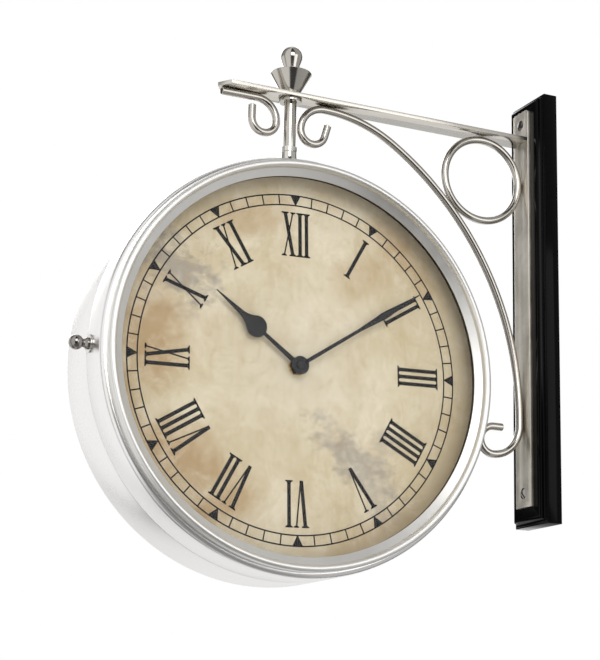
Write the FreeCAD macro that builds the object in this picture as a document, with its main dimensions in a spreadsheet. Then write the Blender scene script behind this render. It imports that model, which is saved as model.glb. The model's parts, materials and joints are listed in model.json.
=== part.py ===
import FreeCAD, Part
import math
import operator
import os
import Sketcher
from FreeCAD import Placement, Rotation, Vector

# Double sided station clock on a wall bracket, in millimetres. +Z is up, the wall is the plane
# x = 0 with the clock on its -X side, and the front dial looks along -Y. The origin is the middle
# of the backboard's wall face. Every piece of the clock is drawn about the centre of its drum and
# then hung there; the pieces of the rear dial are the front ones turned half round.

DIMENSIONS = {
    # The drum's centre, from the wall and below the origin.
    "wall_reach": 223.5,
    "clock_drop": 77.0,
    # Drum: two drawn shells that meet at a seam in front of the middle.
    "case_radius": 152.5,
    "case_wall": 1.2,
    "case_reach": 39.0,
    "case_corner": 4.0,
    "seam_reach": 8.0,
    "lip_width": 12.3,
    # Joint band: the hoop inside the rear shell that the front shell slides over.
    "band_wall": 1.4,
    "band_front": 11.0,
    "band_back": 18.0,
    "band_gap": 0.8,
    # Bezel, glass and gasket, from the shell's lip inwards.
    "bezel_lap": 2.6,
    "bezel_bead": 2.65,
    "bezel_height": 8.0,
    "bezel_crease": 3.4,
    "bezel_edge": 0.8,
    "glass_thick": 2.0,
    "glass_play": 0.6,
    "glass_seat": 0.1,
    "gasket_thick": 1.0,
    "gasket_inset": 0.3,
    "gasket_width": 4.6,
    # Dial plate and the four brackets that carry it.
    "dial_reach": 23.0,
    "dial_thick": 1.0,
    "dial_margin": 3.8,
    "tab_wall": 1.2,
    "tab_depth": 7.3,
    "tab_height": 7.0,
    "tab_span": 5.0,
    "tab_start": 60.0,
    "tab_screw_inset": 1.6,
    "tab_screw_head": 1.5,
    "tab_screw_cap": 0.9,
    "tab_screw_shank": 0.8,
    "tab_screw_length": 4.0,
    # Quartz movement, measured back from the dial's front face.
    "movement_width": 56.0,
    "movement_depth": 15.5,
    "movement_corner": 4.0,
    "movement_gap": 0.2,
    "bush_radius": 4.0,
    "bush_reach": 3.2,
    "bush_depth": 8.0,
    "dial_nut_flats": 12.0,
    "dial_nut_thick": 2.4,
    "battery_radius": 7.2,
    "battery_length": 50.5,
    "battery_nub": 1.2,
    "battery_nub_radius": 2.7,
    "battery_drop": 17.0,
    "bay_floor": 0.8,
    "bay_play": 0.3,
    "knob_radius": 6.0,
    "knob_thick": 3.5,
    "knob_spindle": 1.2,
    "knob_depth": 4.0,
    "knob_right": 10.0,
    "knob_rise": 12.0,
    # Hands, with the places that they have in front of the dial and the time that they show.
    "hour_tube_radius": 2.5,
    "hour_tube_reach": 6.0,
    "hour_tube_depth": 3.0,
    "shaft_radius": 1.6,
    "shaft_reach": 8.6,
    "shaft_depth": 4.0,
    "hour_reach": 4.6,
    "hour_thick": 0.6,
    "hour_hub": 5.0,
    "hour_collar": 3.5,
    "hour_collar_depth": 0.9,
    "hour_stem": 2.0,
    "hour_neck": 1.4,
    "hour_bulb_centre": 42.0,
    "hour_bulb_radius": 8.0,
    "hour_hollow": 18.0,
    "hour_shoulder": 40.0,
    "hour_length": 81.0,
    "hour_angle": 306.0,
    "minute_reach": 6.9,
    "minute_thick": 0.5,
    "minute_hub": 6.7,
    "minute_collar": 2.6,
    "minute_collar_depth": 0.5,
    "minute_stem": 1.5,
    "minute_neck": 1.2,
    "minute_neck_at": 56.0,
    "minute_wide": 2.75,
    "minute_wide_at": 81.0,
    "minute_length": 116.5,
    "minute_angle": 56.0,
    "hand_tip": 0.3,
    "cap_radius": 3.7,
    "cap_thick": 1.9,
    "cap_edge": 0.7,
    # Cover hinge at three o'clock, with its pin upright beside the seam.
    "hinge_offset": 3.3,
    "hinge_knuckle": 2.6,
    "hinge_pin": 1.2,
    "hinge_pin_head": 2.1,
    "hinge_pin_cap": 0.9,
    "hinge_half": 16.0,
    "hinge_middle": 5.0,
    "hinge_split": 0.2,
    "hinge_leaf": 1.7,
    "hinge_width": 11.0,
    "hinge_seam_gap": 0.3,
    "hinge_notch_gap": 0.3,
    "rivet_inset": 7.0,
    "rivet_rise": 10.0,
    "rivet_head": 1.9,
    "rivet_dome": 1.0,
    "rivet_shank": 1.1,
    # Latch at nine o'clock: a ball ended thumb screw into a nut inside the band.
    "latch_inset": 7.0,
    "latch_shank": 2.5,
    "latch_tip": 7.5,
    "latch_washer_radius": 6.5,
    "latch_washer_thick": 1.2,
    "latch_shoulder": 4.2,
    "latch_shoulder_end": 2.6,
    "latch_neck": 2.9,
    "latch_neck_end": 4.2,
    "latch_ball": 5.25,
    "latch_reach": 15.1,
    "latch_nut_radius": 4.5,
    "latch_nut_length": 4.0,
    # Hanger: the pipe that turns in the arm, with the tie rod through it.
    "pipe_radius": 4.75,
    "pipe_wall": 1.35,
    "pipe_foot": 0.3,
    "pipe_entry": 0.8,
    "pivot_fit": 0.08,
    "rod_radius": 3.0,
    "rod_tail": 2.0,
    "rod_point": 0.8,
    "rod_entry": 2.2,
    "collar_flange": 9.5,
    "collar_shoulder": 9.0,
    "collar_edge": 3.1,
    "collar_bevel": 0.5,
    "collar_groove": 0.4,
    "collar_seat": 0.15,
    "collar_waist": 5.6,
    "collar_ring": 5.9,
    "collar_ring_height": 4.2,
    "collar_height": 21.2,
    "arm_flange_radius": 8.75,
    "arm_flange_thick": 2.3,
    "swivel_gap": 0.2,
    "cup_foot": 6.2,
    "cup_bulge": 8.9,
    "cup_bulge_height": 4.8,
    "cup_rim": 15.8,
    "cup_height": 17.8,
    "cup_edge": 0.9,
    "cup_dish_radius": 6.0,
    "cup_dish_depth": 4.2,
    "cup_socket": 1.5,
    "ball_radius": 8.4,
    "ball_height": 31.7,
    "finial_neck": 3.9,
    "finial_foot": 5.0,
    "finial_foot_height": 1.8,
    "finial_neck_height": 8.0,
    "finial_flare": 60.0,
    "washer_radius": 6.5,
    "washer_thick": 1.2,
    "lock_nut_flats": 10.0,
    "lock_nut_thick": 5.0,
    # Bracket: flat arm and strap with scrolls of round bar.
    "arm_rise": 212.5,
    "arm_thick": 3.0,
    "flat_width": 21.0,
    "arm_tip": 59.5,
    "arm_point": 7.0,
    "strap_thick": 3.0,
    "strap_top": 239.3,
    "strap_length": 321.3,
    "strap_corner": 2.5,
    "strap_hole_inset": 10.8,
    "bar_radius": 3.0,
    "weld_gap": 0.05,
    "end_scroll_start": 56.0,
    "end_scroll_run": 27.8,
    "end_scroll_bend": 16.9,
    "end_scroll_curl": 10.0,
    "end_scroll_tail": 9.9,
    "brace_start": 28.0,
    "brace_bend": 19.0,
    "brace_curl": 10.2,
    "brace_curl_turn": 74.4,
    "brace_curl_tail": 9.0,
    "brace_drop": 222.0,
    "brace_split": 32.0,
    "brace_run": 6.4,
    "foot_bend": 24.0,
    "foot_curl": 10.8,
    "foot_tail": 8.0,
    # Wall screws of the strap.
    "screw_head": 4.3,
    "screw_cone": 2.5,
    "screw_shank": 2.1,
    "screw_length": 16.0,
    "screw_slot": 1.2,
    "screw_slot_depth": 0.9,
    # Backboard, with its moulded edge, and the two keyhole plates let into its back.
    "board_thick": 16.5,
    "board_width": 47.0,
    "board_top": 249.7,
    "board_length": 345.4,
    "board_side": 11.8,
    "mould_step": 1.0,
    "mould_rise": 0.7,
    "mould_width": 6.0,
    "plate_length": 50.0,
    "plate_width": 18.0,
    "plate_thick": 1.5,
    "plate_spacing": 240.0,
    "plate_play": 0.3,
    "keyhole_radius": 4.5,
    "keyhole_slot": 2.25,
    "keyhole_rise": 10.0,
    "keyhole_cavity": 7.0,
    "keyhole_room": 7.0,
    "plate_screw_inset": 5.0,
    "plate_screw_head": 3.0,
    "plate_screw_shank": 1.5,
    "plate_screw_length": 9.0,
    # Clearances: between pieces that turn, and round what is fixed.
    "running_fit": 0.05,
    "fixed_fit": 0.05,
    "drill_fit": 0.25,
}

document = FreeCAD.newDocument("StationClock")
sheet = document.addObject("Spreadsheet::Sheet", "Sizes")
for row, (alias, measure) in enumerate(DIMENSIONS.items(), start=1):
    sheet.set("A%d" % row, alias)
    sheet.set("B%d" % row, str(measure))
    sheet.setAlias("B%d" % row, alias)
worked_out = document.addObject("App::VarSet", "Worked")
document.recompute()


class Size:
    """A number together with the expression over the sheet that drives it."""

    def __init__(self, value, text):
        self.value = value
        self.text = text

    def __add__(self, other):
        return combined(self, "+", other)

    def __radd__(self, other):
        return combined(other, "+", self)

    def __sub__(self, other):
        return combined(self, "-", other)

    def __rsub__(self, other):
        return combined(other, "-", self)

    def __mul__(self, other):
        return combined(self, "*", other)

    def __rmul__(self, other):
        return combined(other, "*", self)

    def __truediv__(self, other):
        return combined(self, "/", other)

    def __neg__(self):
        return combined(0, "-", self)


class Sheet:
    """The sheet's cells, each as a Size under its alias."""

    def __getattr__(self, alias):
        return Size(DIMENSIONS[alias], "Sizes." + alias)


OPERATIONS = {"+": operator.add, "-": operator.sub, "*": operator.mul, "/": operator.truediv}


def as_size(number):
    return number if isinstance(number, Size) else Size(number, "(%.9g)" % number)


def combined(left, sign, right):
    left, right = as_size(left), as_size(right)
    value = OPERATIONS[sign](left.value, right.value)
    return Size(value, "(%s %s %s)" % (left.text, sign, right.text))


def root(size):
    return Size(math.sqrt(size.value), "sqrt(%s)" % size.text)


def sine(degrees):
    return Size(math.sin(math.radians(degrees.value)), "sin(%s)" % degrees.text)


def cosine(degrees):
    return Size(math.cos(math.radians(degrees.value)), "cos(%s)" % degrees.text)


def worked(name, size):
    """Keep a worked out size under a name of its own."""
    worked_out.addProperty("App::PropertyFloat", name, "Worked")
    worked_out.setExpression(name, size.text)
    return Size(size.value, "Worked." + name)


def bind(thing, name, size):
    """Give one of an object's properties a fixed number, or the expression that drives it."""
    if isinstance(size, Size):
        thing.setExpression(name, size.text)
        return
    owner, _, field = name.rpartition(".")
    if owner:
        thing.setExpression(name, as_size(size).text)
    else:
        setattr(thing, field, size)


def number(size):
    return as_size(size).value


def place(thing, x=0, y=0, z=0, rotation=Rotation()):
    """Put an object at x, y, z with the rotation."""
    thing.Placement = Placement(Vector(number(x), number(y), number(z)), rotation)
    for axis, size in (("x", x), ("y", y), ("z", z)):
        if isinstance(size, Size):
            bind(thing, "Placement.Base." + axis, size)
    return thing


# Outlines. An outline is a list of corners (x, y); a corner that an arc leads to is written
# (x, y, centre_x, centre_y, turn), with turn 1 for an arc that runs anticlockwise.

def fix(sketch, kind, geometry, point, size):
    """Fix one coordinate of a point; a literal 0 puts the point on the sketch's axis."""
    if not isinstance(size, Size) and size == 0:
        axis = -2 if kind == "DistanceX" else -1
        sketch.addConstraint(Sketcher.Constraint("PointOnObject", geometry, point, axis))
        return
    index = sketch.addConstraint(Sketcher.Constraint(kind, geometry, point, number(size)))
    if isinstance(size, Size):
        bind(sketch, "Constraints[%d]" % index, size)


def draw_edge(sketch, start, corner):
    """Draw the edge from start to a corner; give its geometry and its two end points' numbers."""
    first = Vector(number(start[0]), number(start[1]), 0)
    last = Vector(number(corner[0]), number(corner[1]), 0)
    if len(corner) == 2:
        return sketch.addGeometry(Part.LineSegment(first, last), False), 1, 2
    centre_x, centre_y, turn = corner[2:]
    centre = Vector(number(centre_x), number(centre_y), 0)
    circle = Part.Circle(centre, Vector(0, 0, 1), (first - centre).Length)
    ends = [math.atan2(point.y - centre.y, point.x - centre.x) for point in (first, last)]
    if turn < 0:
        ends.reverse()
    if ends[1] <= ends[0]:
        ends[1] += 2 * math.pi
    geometry = sketch.addGeometry(Part.ArcOfCircle(circle, ends[0], ends[1]), False)
    chord = last - first
    # The centre can only move square to the chord, so its larger part there is what fixes it.
    if abs(chord.y) > abs(chord.x):
        fix(sketch, "DistanceX", geometry, 3, centre_x)
    else:
        fix(sketch, "DistanceY", geometry, 3, centre_y)
    return (geometry, 1, 2) if turn > 0 else (geometry, 2, 1)


def draw(sketch, outline, closed=True):
    corners = [corner[:2] for corner in outline]
    edges = []
    for start, corner in zip(corners, outline[1:]):
        edges.append(draw_edge(sketch, start, corner))
    home = [number(last) - number(first) for last, first in zip(corners[-1], corners[0])]
    if closed and math.hypot(*home) > 1e-6:
        edges.append(draw_edge(sketch, corners[-1], corners[0]))
    for (edge, first, _), corner in zip(edges, corners):
        fix(sketch, "DistanceX", edge, first, corner[0])
        fix(sketch, "DistanceY", edge, first, corner[1])
    for (edge, _, last), (following, first, _) in zip(edges, edges[1:]):
        sketch.addConstraint(Sketcher.Constraint("Coincident", edge, last, following, first))
    if closed:
        ends = (edges[-1][0], edges[-1][2], edges[0][0], edges[0][1])
        sketch.addConstraint(Sketcher.Constraint("Coincident", *ends))
    else:
        edge, _, last = edges[-1]
        fix(sketch, "DistanceX", edge, last, corners[-1][0])
        fix(sketch, "DistanceY", edge, last, corners[-1][1])


def draw_circle(sketch, x, y, radius):
    centre = Vector(number(x), number(y), 0)
    circle = Part.Circle(centre, Vector(0, 0, 1), number(radius))
    geometry = sketch.addGeometry(circle, False)
    fix(sketch, "DistanceX", geometry, 3, x)
    fix(sketch, "DistanceY", geometry, 3, y)
    index = sketch.addConstraint(Sketcher.Constraint("Radius", geometry, number(radius)))
    if isinstance(radius, Size):
        bind(sketch, "Constraints[%d]" % index, radius)


def new_body(label):
    body = document.addObject("PartDesign::Body", label)
    body.Label = label
    return body


def new_sketch(body, plane, start=0):
    """A sketch on one of the body's origin planes, moved along the plane's normal by start."""
    sketch = body.newObject("Sketcher::SketchObject", body.Name + "_sketch")
    origin_plane = [item for item in body.Origin.OriginFeatures if item.Role == plane][0]
    sketch.AttachmentSupport = (origin_plane, [""])
    sketch.MapMode = "FlatFace"
    sketch.AttachmentOffset = Placement(Vector(0, 0, number(start)), Rotation())
    if isinstance(start, Size):
        bind(sketch, "AttachmentOffset.Base.z", start)
    return sketch


def turned(label, plane, outline, axis="V_Axis", angle=360.0):
    """A body of revolution: the outline turned about one of its sketch's axes."""
    body = new_body(label)
    sketch = new_sketch(body, plane)
    draw(sketch, outline)
    turn = body.newObject("PartDesign::Revolution", label + "_turn")
    turn.Profile = sketch
    turn.ReferenceAxis = (sketch, [axis])
    turn.Midplane = number(angle) < 360
    bind(turn, "Angle", angle)
    return body


def plate(label, plane, outline, thick, start=0, circles=(), reverse=False):
    """A flat piece: the outline padded from start along the plane's normal, or back from it."""
    body = new_body(label)
    sketch = new_sketch(body, plane, start)
    if outline:
        draw(sketch, outline)
    for circle in circles:
        draw_circle(sketch, *circle)
    pad = body.newObject("PartDesign::Pad", label + "_pad")
    pad.Profile = sketch
    pad.Reversed = reverse
    bind(pad, "Length", thick)
    return body


ALONG = {
    "x": Rotation(Vector(0, 1, 0), 90),
    "y": Rotation(Vector(1, 0, 0), -90),
    "z": Rotation(),
}


def cylinder(axis, radius, length, x=0, y=0, z=0):
    """A cylinder that starts at x, y, z and runs along the axis."""
    solid = document.addObject("Part::Cylinder", "Cylinder")
    bind(solid, "Radius", radius)
    bind(solid, "Height", length)
    return place(solid, x, y, z, ALONG[axis])


def cone(axis, radius_first, radius_last, length, x=0, y=0, z=0):
    solid = document.addObject("Part::Cone", "Cone")
    bind(solid, "Radius1", radius_first)
    bind(solid, "Radius2", radius_last)
    bind(solid, "Height", length)
    return place(solid, x, y, z, ALONG[axis])


def block(x_size, y_size, z_size, x, y, z):
    """A box whose lowest corner is at x, y, z."""
    solid = document.addObject("Part::Box", "Block")
    bind(solid, "Length", x_size)
    bind(solid, "Width", y_size)
    bind(solid, "Height", z_size)
    return place(solid, x, y, z)


def prism(axis, sides, radius, length, x=0, y=0, z=0):
    """A regular prism: the body of a nut."""
    solid = document.addObject("Part::Prism", "Prism")
    solid.Polygon = sides
    bind(solid, "Circumradius", radius)
    bind(solid, "Height", length)
    return place(solid, x, y, z, ALONG[axis])


def fused(label, *pieces):
    joined = document.addObject("Part::MultiFuse", label)
    joined.Label = label
    joined.Shapes = list(pieces)
    return joined


def cut(label, base, *tools):
    """The base without the tools; with a label of its own it is the finished piece."""
    if base.Label == label:
        base.Label = label + "_blank"
    tool = tools[0] if len(tools) == 1 else fused(label + "_tools", *tools)
    result = document.addObject("Part::Cut", label)
    result.Label = label
    result.Base = base
    result.Tool = tool
    return result


def common(label, first, second):
    result = document.addObject("Part::MultiCommon", label)
    result.Label = label
    result.Shapes = [first, second]
    return result


def group(label, pieces):
    """Like pieces that share a file, each still a solid of its own."""
    compound = document.addObject("Part::Compound", label)
    compound.Label = label
    compound.Links = pieces
    return compound


def rod(label, route, heading):
    """Round bar along a route in the XZ plane that sets off at the heading, in degrees."""
    spine = document.addObject("Sketcher::SketchObject", label + "_route")
    spine.Placement = Placement(Vector(), Rotation(Vector(1, 0, 0), 90))
    draw(spine, route, closed=False)
    section = document.addObject("Part::Circle", label + "_section")
    bind(section, "Radius", size.bar_radius)
    turn = Rotation(Vector(0, 1, 0), 90 - number(heading))
    place(section, route[0][0], 0, route[0][1], turn)
    if isinstance(heading, Size):
        bind(section, "Placement.Rotation.Angle", 90 - heading)
    sweep = document.addObject("Part::Sweep", label)
    sweep.Label = label
    sweep.Sections = [section]
    sweep.Spine = (spine, [])
    sweep.Solid = True
    return sweep


size = Sheet()
finished = []

HALF_TURN = Rotation(Vector(0, 0, 1), 180)
FACING = {"front": (1, Rotation()), "rear": (-1, HALF_TURN)}


def hang(piece, side="front", x=0, y=0, z=0, turn=Rotation()):
    """Carry a piece drawn about the drum's centre to where it hangs, half turned for the rear."""
    sign, facing = FACING[side]
    place(piece, sign * x - size.wall_reach, sign * y, z - size.clock_drop, facing * turn)
    finished.append(piece)


def hang_at_dial(piece, side, clock_angle=None):
    """Carry a piece drawn about a dial's front face to that dial, turned clockwise on it."""
    turn = Rotation() if clock_angle is None else Rotation(Vector(0, 1, 0), number(clock_angle))
    hang(piece, side, y=-size.dial_reach, turn=turn)


# Sizes that more than one piece needs, from the drum's centre or its axis.

case_inside = worked("case_inside", size.case_radius - size.case_wall)
bezel_radius = worked("bezel_radius", size.case_radius - size.case_corner)
band_inside = worked("band_inside", case_inside - size.band_wall)
spigot_radius = worked("spigot_radius", case_inside - size.band_gap)
spigot_inside = worked("spigot_inside", spigot_radius - size.band_wall)
lip_radius = worked("lip_radius", size.case_radius - size.lip_width)
bezel_bore = worked("bezel_bore", lip_radius - size.bezel_lap)
gasket_bore = worked("gasket_bore", bezel_bore + size.gasket_inset)
gasket_radius = worked("gasket_radius", gasket_bore + size.gasket_width)
glass_radius = worked("glass_radius", lip_radius - size.glass_play)
glass_front = worked("glass_front", size.glass_seat - size.case_reach)
glass_back = worked("glass_back", glass_front + size.glass_thick)
dial_radius = worked("dial_radius", case_inside - size.dial_margin)
tab_inside = worked("tab_inside", case_inside - size.tab_depth)
tab_screw_circle = worked("tab_screw_circle", dial_radius - size.tab_screw_inset)
movement_front = worked("movement_front", size.dial_thick + size.movement_gap)
movement_back = worked("movement_back", movement_front + size.movement_depth)
bush_bore = worked("bush_bore", size.hour_tube_radius + size.running_fit)
bay_radius = worked("bay_radius", size.battery_radius + size.bay_play)
bay_centre = worked("bay_centre", movement_front + size.bay_floor + bay_radius)
hinge_x = worked("hinge_x", size.case_radius + size.hinge_offset)
hinge_bore = worked("hinge_bore", size.hinge_pin + size.running_fit)
leaf_top = worked("leaf_top", size.case_radius + size.hinge_leaf)
latch_y = worked("latch_y", -size.seam_reach - size.latch_inset)
latch_bore = worked("latch_bore", size.latch_shank + size.running_fit)
latch_hole = worked("latch_hole", size.latch_shank + size.drill_fit)
rod_hole = worked("rod_hole", size.rod_radius + size.drill_fit)
rod_bore = worked("rod_bore", size.rod_radius + size.fixed_fit)
pipe_socket = worked("pipe_socket", size.pipe_radius + size.fixed_fit)
arm_top = worked("arm_top", size.arm_rise + size.arm_thick)
cup_base = worked("cup_base", arm_top + size.swivel_gap)
cup_top = worked("cup_top", cup_base + size.cup_height)
cup_floor = worked("cup_floor", cup_top - size.cup_dish_depth)
ball_rise = worked("ball_rise", arm_top + size.ball_height)
rod_top = worked("rod_top", ball_rise - size.rod_entry)
collar_top = worked("collar_top", size.case_radius + size.collar_height)
washer_seat = worked("washer_seat", root(band_inside * band_inside - size.washer_radius * size.washer_radius))
board_face = worked("board_face", size.wall_reach - size.board_thick)
board_bottom = worked("board_bottom", size.board_top - size.board_length)
strap_face = worked("strap_face", board_face - size.strap_thick)
strap_bottom = worked("strap_bottom", size.strap_top - size.strap_length)
bar_rise = worked("bar_rise", size.arm_rise - size.bar_radius - size.weld_gap)
bar_reach = worked("bar_reach", strap_face - size.bar_radius - size.weld_gap)


# Drum

def rivet_holes(y, inside, outside):
    """Drillings along X for the two rivets of a hinge leaf, from one radius to another."""
    radius = size.rivet_shank + size.fixed_fit
    return [cylinder("x", radius, outside - inside, inside, y, end * size.rivet_rise) for end in (-1, 1)]


def drawn_shell(label, seam):
    """One drawn shell with its lip towards -Y: wall from the seam, rounded corner, turned in lip."""
    face = -size.case_reach
    bend = face + size.case_corner
    return turned(label, "XY_Plane", [
        (size.case_radius, seam),
        (size.case_radius, bend),
        (bezel_radius, face, bezel_radius, bend, -1),
        (lip_radius, face),
        (lip_radius, face + size.case_wall),
        (bezel_radius, face + size.case_wall),
        (case_inside, bend, bezel_radius, bend, 1),
        (case_inside, seam),
    ])


def front_shell():
    blank = drawn_shell("front_shell", -size.seam_reach)
    latch_way = cylinder("x", latch_hole, 4 * size.case_wall, -size.case_radius - size.case_wall, latch_y)
    rivet_ways = rivet_holes(-size.seam_reach - size.rivet_inset, tab_inside, leaf_top)
    hang(cut("front_shell", blank, latch_way, *rivet_ways))


def rear_shell():
    # Half turned when it is hung, so the hinge's side of the clock is at -X here.
    blank = drawn_shell("rear_shell", size.seam_reach)
    rod_way = cylinder("z", rod_hole, 4 * size.case_wall, 0, 0, case_inside - size.case_wall)
    rivet_ways = rivet_holes(size.seam_reach - size.rivet_inset, -leaf_top, -tab_inside)
    hang(cut("rear_shell", blank, rod_way, *rivet_ways), "rear")


def joint_band():
    """The hoop in the rear shell, joggled inwards where the front shell slides over it."""
    front = -size.seam_reach - size.band_front
    back = size.band_back - size.seam_reach
    step = size.band_gap
    bend = step / 2 - size.seam_reach
    blank = turned("joint_band", "XY_Plane", [
        (spigot_inside, front),
        (spigot_radius, front),
        (spigot_radius, bend),
        (case_inside, bend + step),
        (case_inside, back),
        (band_inside, back),
        (band_inside, bend + step + step / 2),
        (spigot_inside, bend + step / 2),
    ])
    latch_way = cylinder("x", latch_hole, 4 * size.band_wall, -case_inside - size.band_wall, latch_y)
    rod_way = cylinder("z", rod_hole, 4 * size.band_wall, 0, 0, band_inside - size.band_wall)
    rivet_ways = rivet_holes(size.rivet_inset - size.seam_reach, tab_inside, leaf_top)
    hang(cut("joint_band", blank, latch_way, rod_way, *rivet_ways))


def bezel(side):
    """The bezel ring: a round bead, a crease inside it and a band that slopes to the glass."""
    back = -size.case_reach
    bead_x = bezel_radius - size.bezel_bead
    bead_y = back - size.bezel_height + size.bezel_bead
    crease = bead_x - size.bezel_bead
    hang(turned(side + "_bezel", "XY_Plane", [
        (bezel_bore, back),
        (bezel_radius, back),
        (bezel_radius, bead_y),
        (crease, bead_y, bead_x, bead_y, -1),
        (crease, back - size.bezel_crease),
        (bezel_bore, back - size.bezel_edge),
    ]), side)


def glass(side):
    hang(turned(side + "_glass", "XY_Plane", [
        (0, glass_front),
        (glass_radius, glass_front),
        (glass_radius, glass_back),
        (0, glass_back),
    ]), side)


def glass_gasket(side):
    """The rubber ring that holds the glass against the bezel, stuck behind the shell's lip."""
    lip_back = size.case_wall - size.case_reach
    hang(turned(side + "_glass_gasket", "XY_Plane", [
        (gasket_bore, glass_back),
        (lip_radius, glass_back),
        (lip_radius, lip_back),
        (gasket_radius, lip_back),
        (gasket_radius, glass_back + size.gasket_thick),
        (gasket_bore, glass_back + size.gasket_thick),
    ]), side)


# Dial and the brackets that carry it

BRACKETS = range(4)
BRACKET_STEP = 360 / len(BRACKETS)


def bracket_angle(bracket):
    return size.tab_start + BRACKET_STEP * bracket


def at_bracket(piece, bracket):
    """Swing a piece drawn at +X about the dial's axis to one of the brackets."""
    angle = bracket_angle(bracket)
    place(piece, rotation=Rotation(Vector(0, -1, 0), number(angle)))
    bind(piece, "Placement.Rotation.Angle", angle)
    return piece


def dial(side):
    screw_hole = size.tab_screw_shank + size.fixed_fit
    circles = [(0, 0, dial_radius), (0, 0, size.bush_radius + size.drill_fit)]
    for bracket in BRACKETS:
        angle = bracket_angle(bracket)
        x = tab_screw_circle * cosine(angle)
        circles.append((x, tab_screw_circle * sine(angle), screw_hole))
    disc = plate(side + "_dial", "XZ_Plane", [], size.dial_thick, circles=circles, reverse=True)
    hang_at_dial(disc, side)


def dial_tabs(side):
    """Angle brackets that follow the shell's wall, each with a foot behind the dial."""
    tabs = []
    for bracket in BRACKETS:
        blank = turned("%s_tab_%d" % (side, bracket), "XY_Plane", [
            (tab_inside, size.dial_thick),
            (case_inside - size.tab_wall, size.dial_thick),
            (case_inside - size.tab_wall, size.dial_thick - size.tab_height),
            (case_inside, size.dial_thick - size.tab_height),
            (case_inside, size.dial_thick + size.tab_wall),
            (tab_inside, size.dial_thick + size.tab_wall),
        ], angle=size.tab_span)
        radius = size.tab_screw_shank + size.fixed_fit
        hole = cylinder("y", radius, size.tab_wall, tab_screw_circle, size.dial_thick)
        tabs.append(at_bracket(cut("%s_tab_%d_drilled" % (side, bracket), blank, hole), bracket))
    hang_at_dial(group(side + "_dial_tabs", tabs), side)


def dial_screws(side):
    screws = []
    for bracket in BRACKETS:
        head = cylinder("y", size.tab_screw_head, size.tab_screw_cap, tab_screw_circle, -size.tab_screw_cap)
        shank = cylinder("y", size.tab_screw_shank, size.tab_screw_length, tab_screw_circle)
        screws.append(at_bracket(fused("%s_dial_screw_%d" % (side, bracket), head, shank), bracket))
    hang_at_dial(group(side + "_dial_screws", screws), side)


# Movement, drawn back from the dial's front face

def rounded_square(half, corner):
    near = half - corner
    return [
        (-near, -half),
        (near, -half),
        (half, -near, near, -near, 1),
        (half, near),
        (near, half, near, near, 1),
        (-near, half),
        (-half, near, -near, near, 1),
        (-half, -near),
        (-near, -half, -near, -near, 1),
    ]


def movement_case(side):
    """The plastic case with its threaded bush, its battery bay open to the back and the knob's hole."""
    outline = rounded_square(size.movement_width / 2, size.movement_corner)
    name = side + "_movement_case"
    case = plate(name + "_block", "XZ_Plane", outline, size.movement_depth, -movement_front, reverse=True)
    bush = cylinder("y", size.bush_radius, size.bush_reach + size.bush_depth, y=-size.bush_reach)
    bore = cylinder("y", bush_bore, size.bush_reach + size.bush_depth, y=-size.bush_reach)
    bay_length = size.battery_length + 2 * size.bay_play
    bay = cylinder("x", bay_radius, bay_length, -bay_length / 2, bay_centre, -size.battery_drop)
    bay_z = -size.battery_drop - bay_radius
    mouth = block(bay_length, bay_radius, 2 * bay_radius, -bay_length / 2, bay_centre, bay_z)
    spindle_hole = size.knob_spindle + size.running_fit
    knob_y = movement_back - size.knob_depth - size.swivel_gap
    knob_hole = cylinder("y", spindle_hole, size.knob_depth * 2, size.knob_right, knob_y, size.knob_rise)
    hang_at_dial(cut(name, fused(name + "_solid", case, bush), bore, bay, mouth, knob_hole), side)


def battery(side):
    barrel_length = size.battery_length - size.battery_nub
    start = -size.battery_length / 2
    barrel = cylinder("x", size.battery_radius, barrel_length, start, bay_centre, -size.battery_drop)
    nub_x = start + barrel_length
    nub = cylinder("x", size.battery_nub_radius, size.battery_nub, nub_x, bay_centre, -size.battery_drop)
    hang_at_dial(fused(side + "_battery", barrel, nub), side)


def set_knob(side):
    seat = movement_back + size.swivel_gap
    grip = prism("y", 12, size.knob_radius, size.knob_thick, size.knob_right, seat, size.knob_rise)
    spindle_y = movement_back - size.knob_depth
    length = size.knob_depth + size.knob_thick
    spindle = cylinder("y", size.knob_spindle, length, size.knob_right, spindle_y, size.knob_rise)
    hang_at_dial(fused(side + "_set_knob", grip, spindle), side)


def hexagon_radius(flats):
    return flats / math.sqrt(3)


def shaft_nut(side):
    radius = hexagon_radius(size.dial_nut_flats)
    blank = prism("y", 6, radius, size.dial_nut_thick, y=-size.dial_nut_thick)
    thread = cylinder("y", size.bush_radius + size.fixed_fit, size.dial_nut_thick, y=-size.dial_nut_thick)
    hang_at_dial(cut(side + "_shaft_nut", blank, thread), side)


# Hands, drawn pointing to twelve

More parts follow.
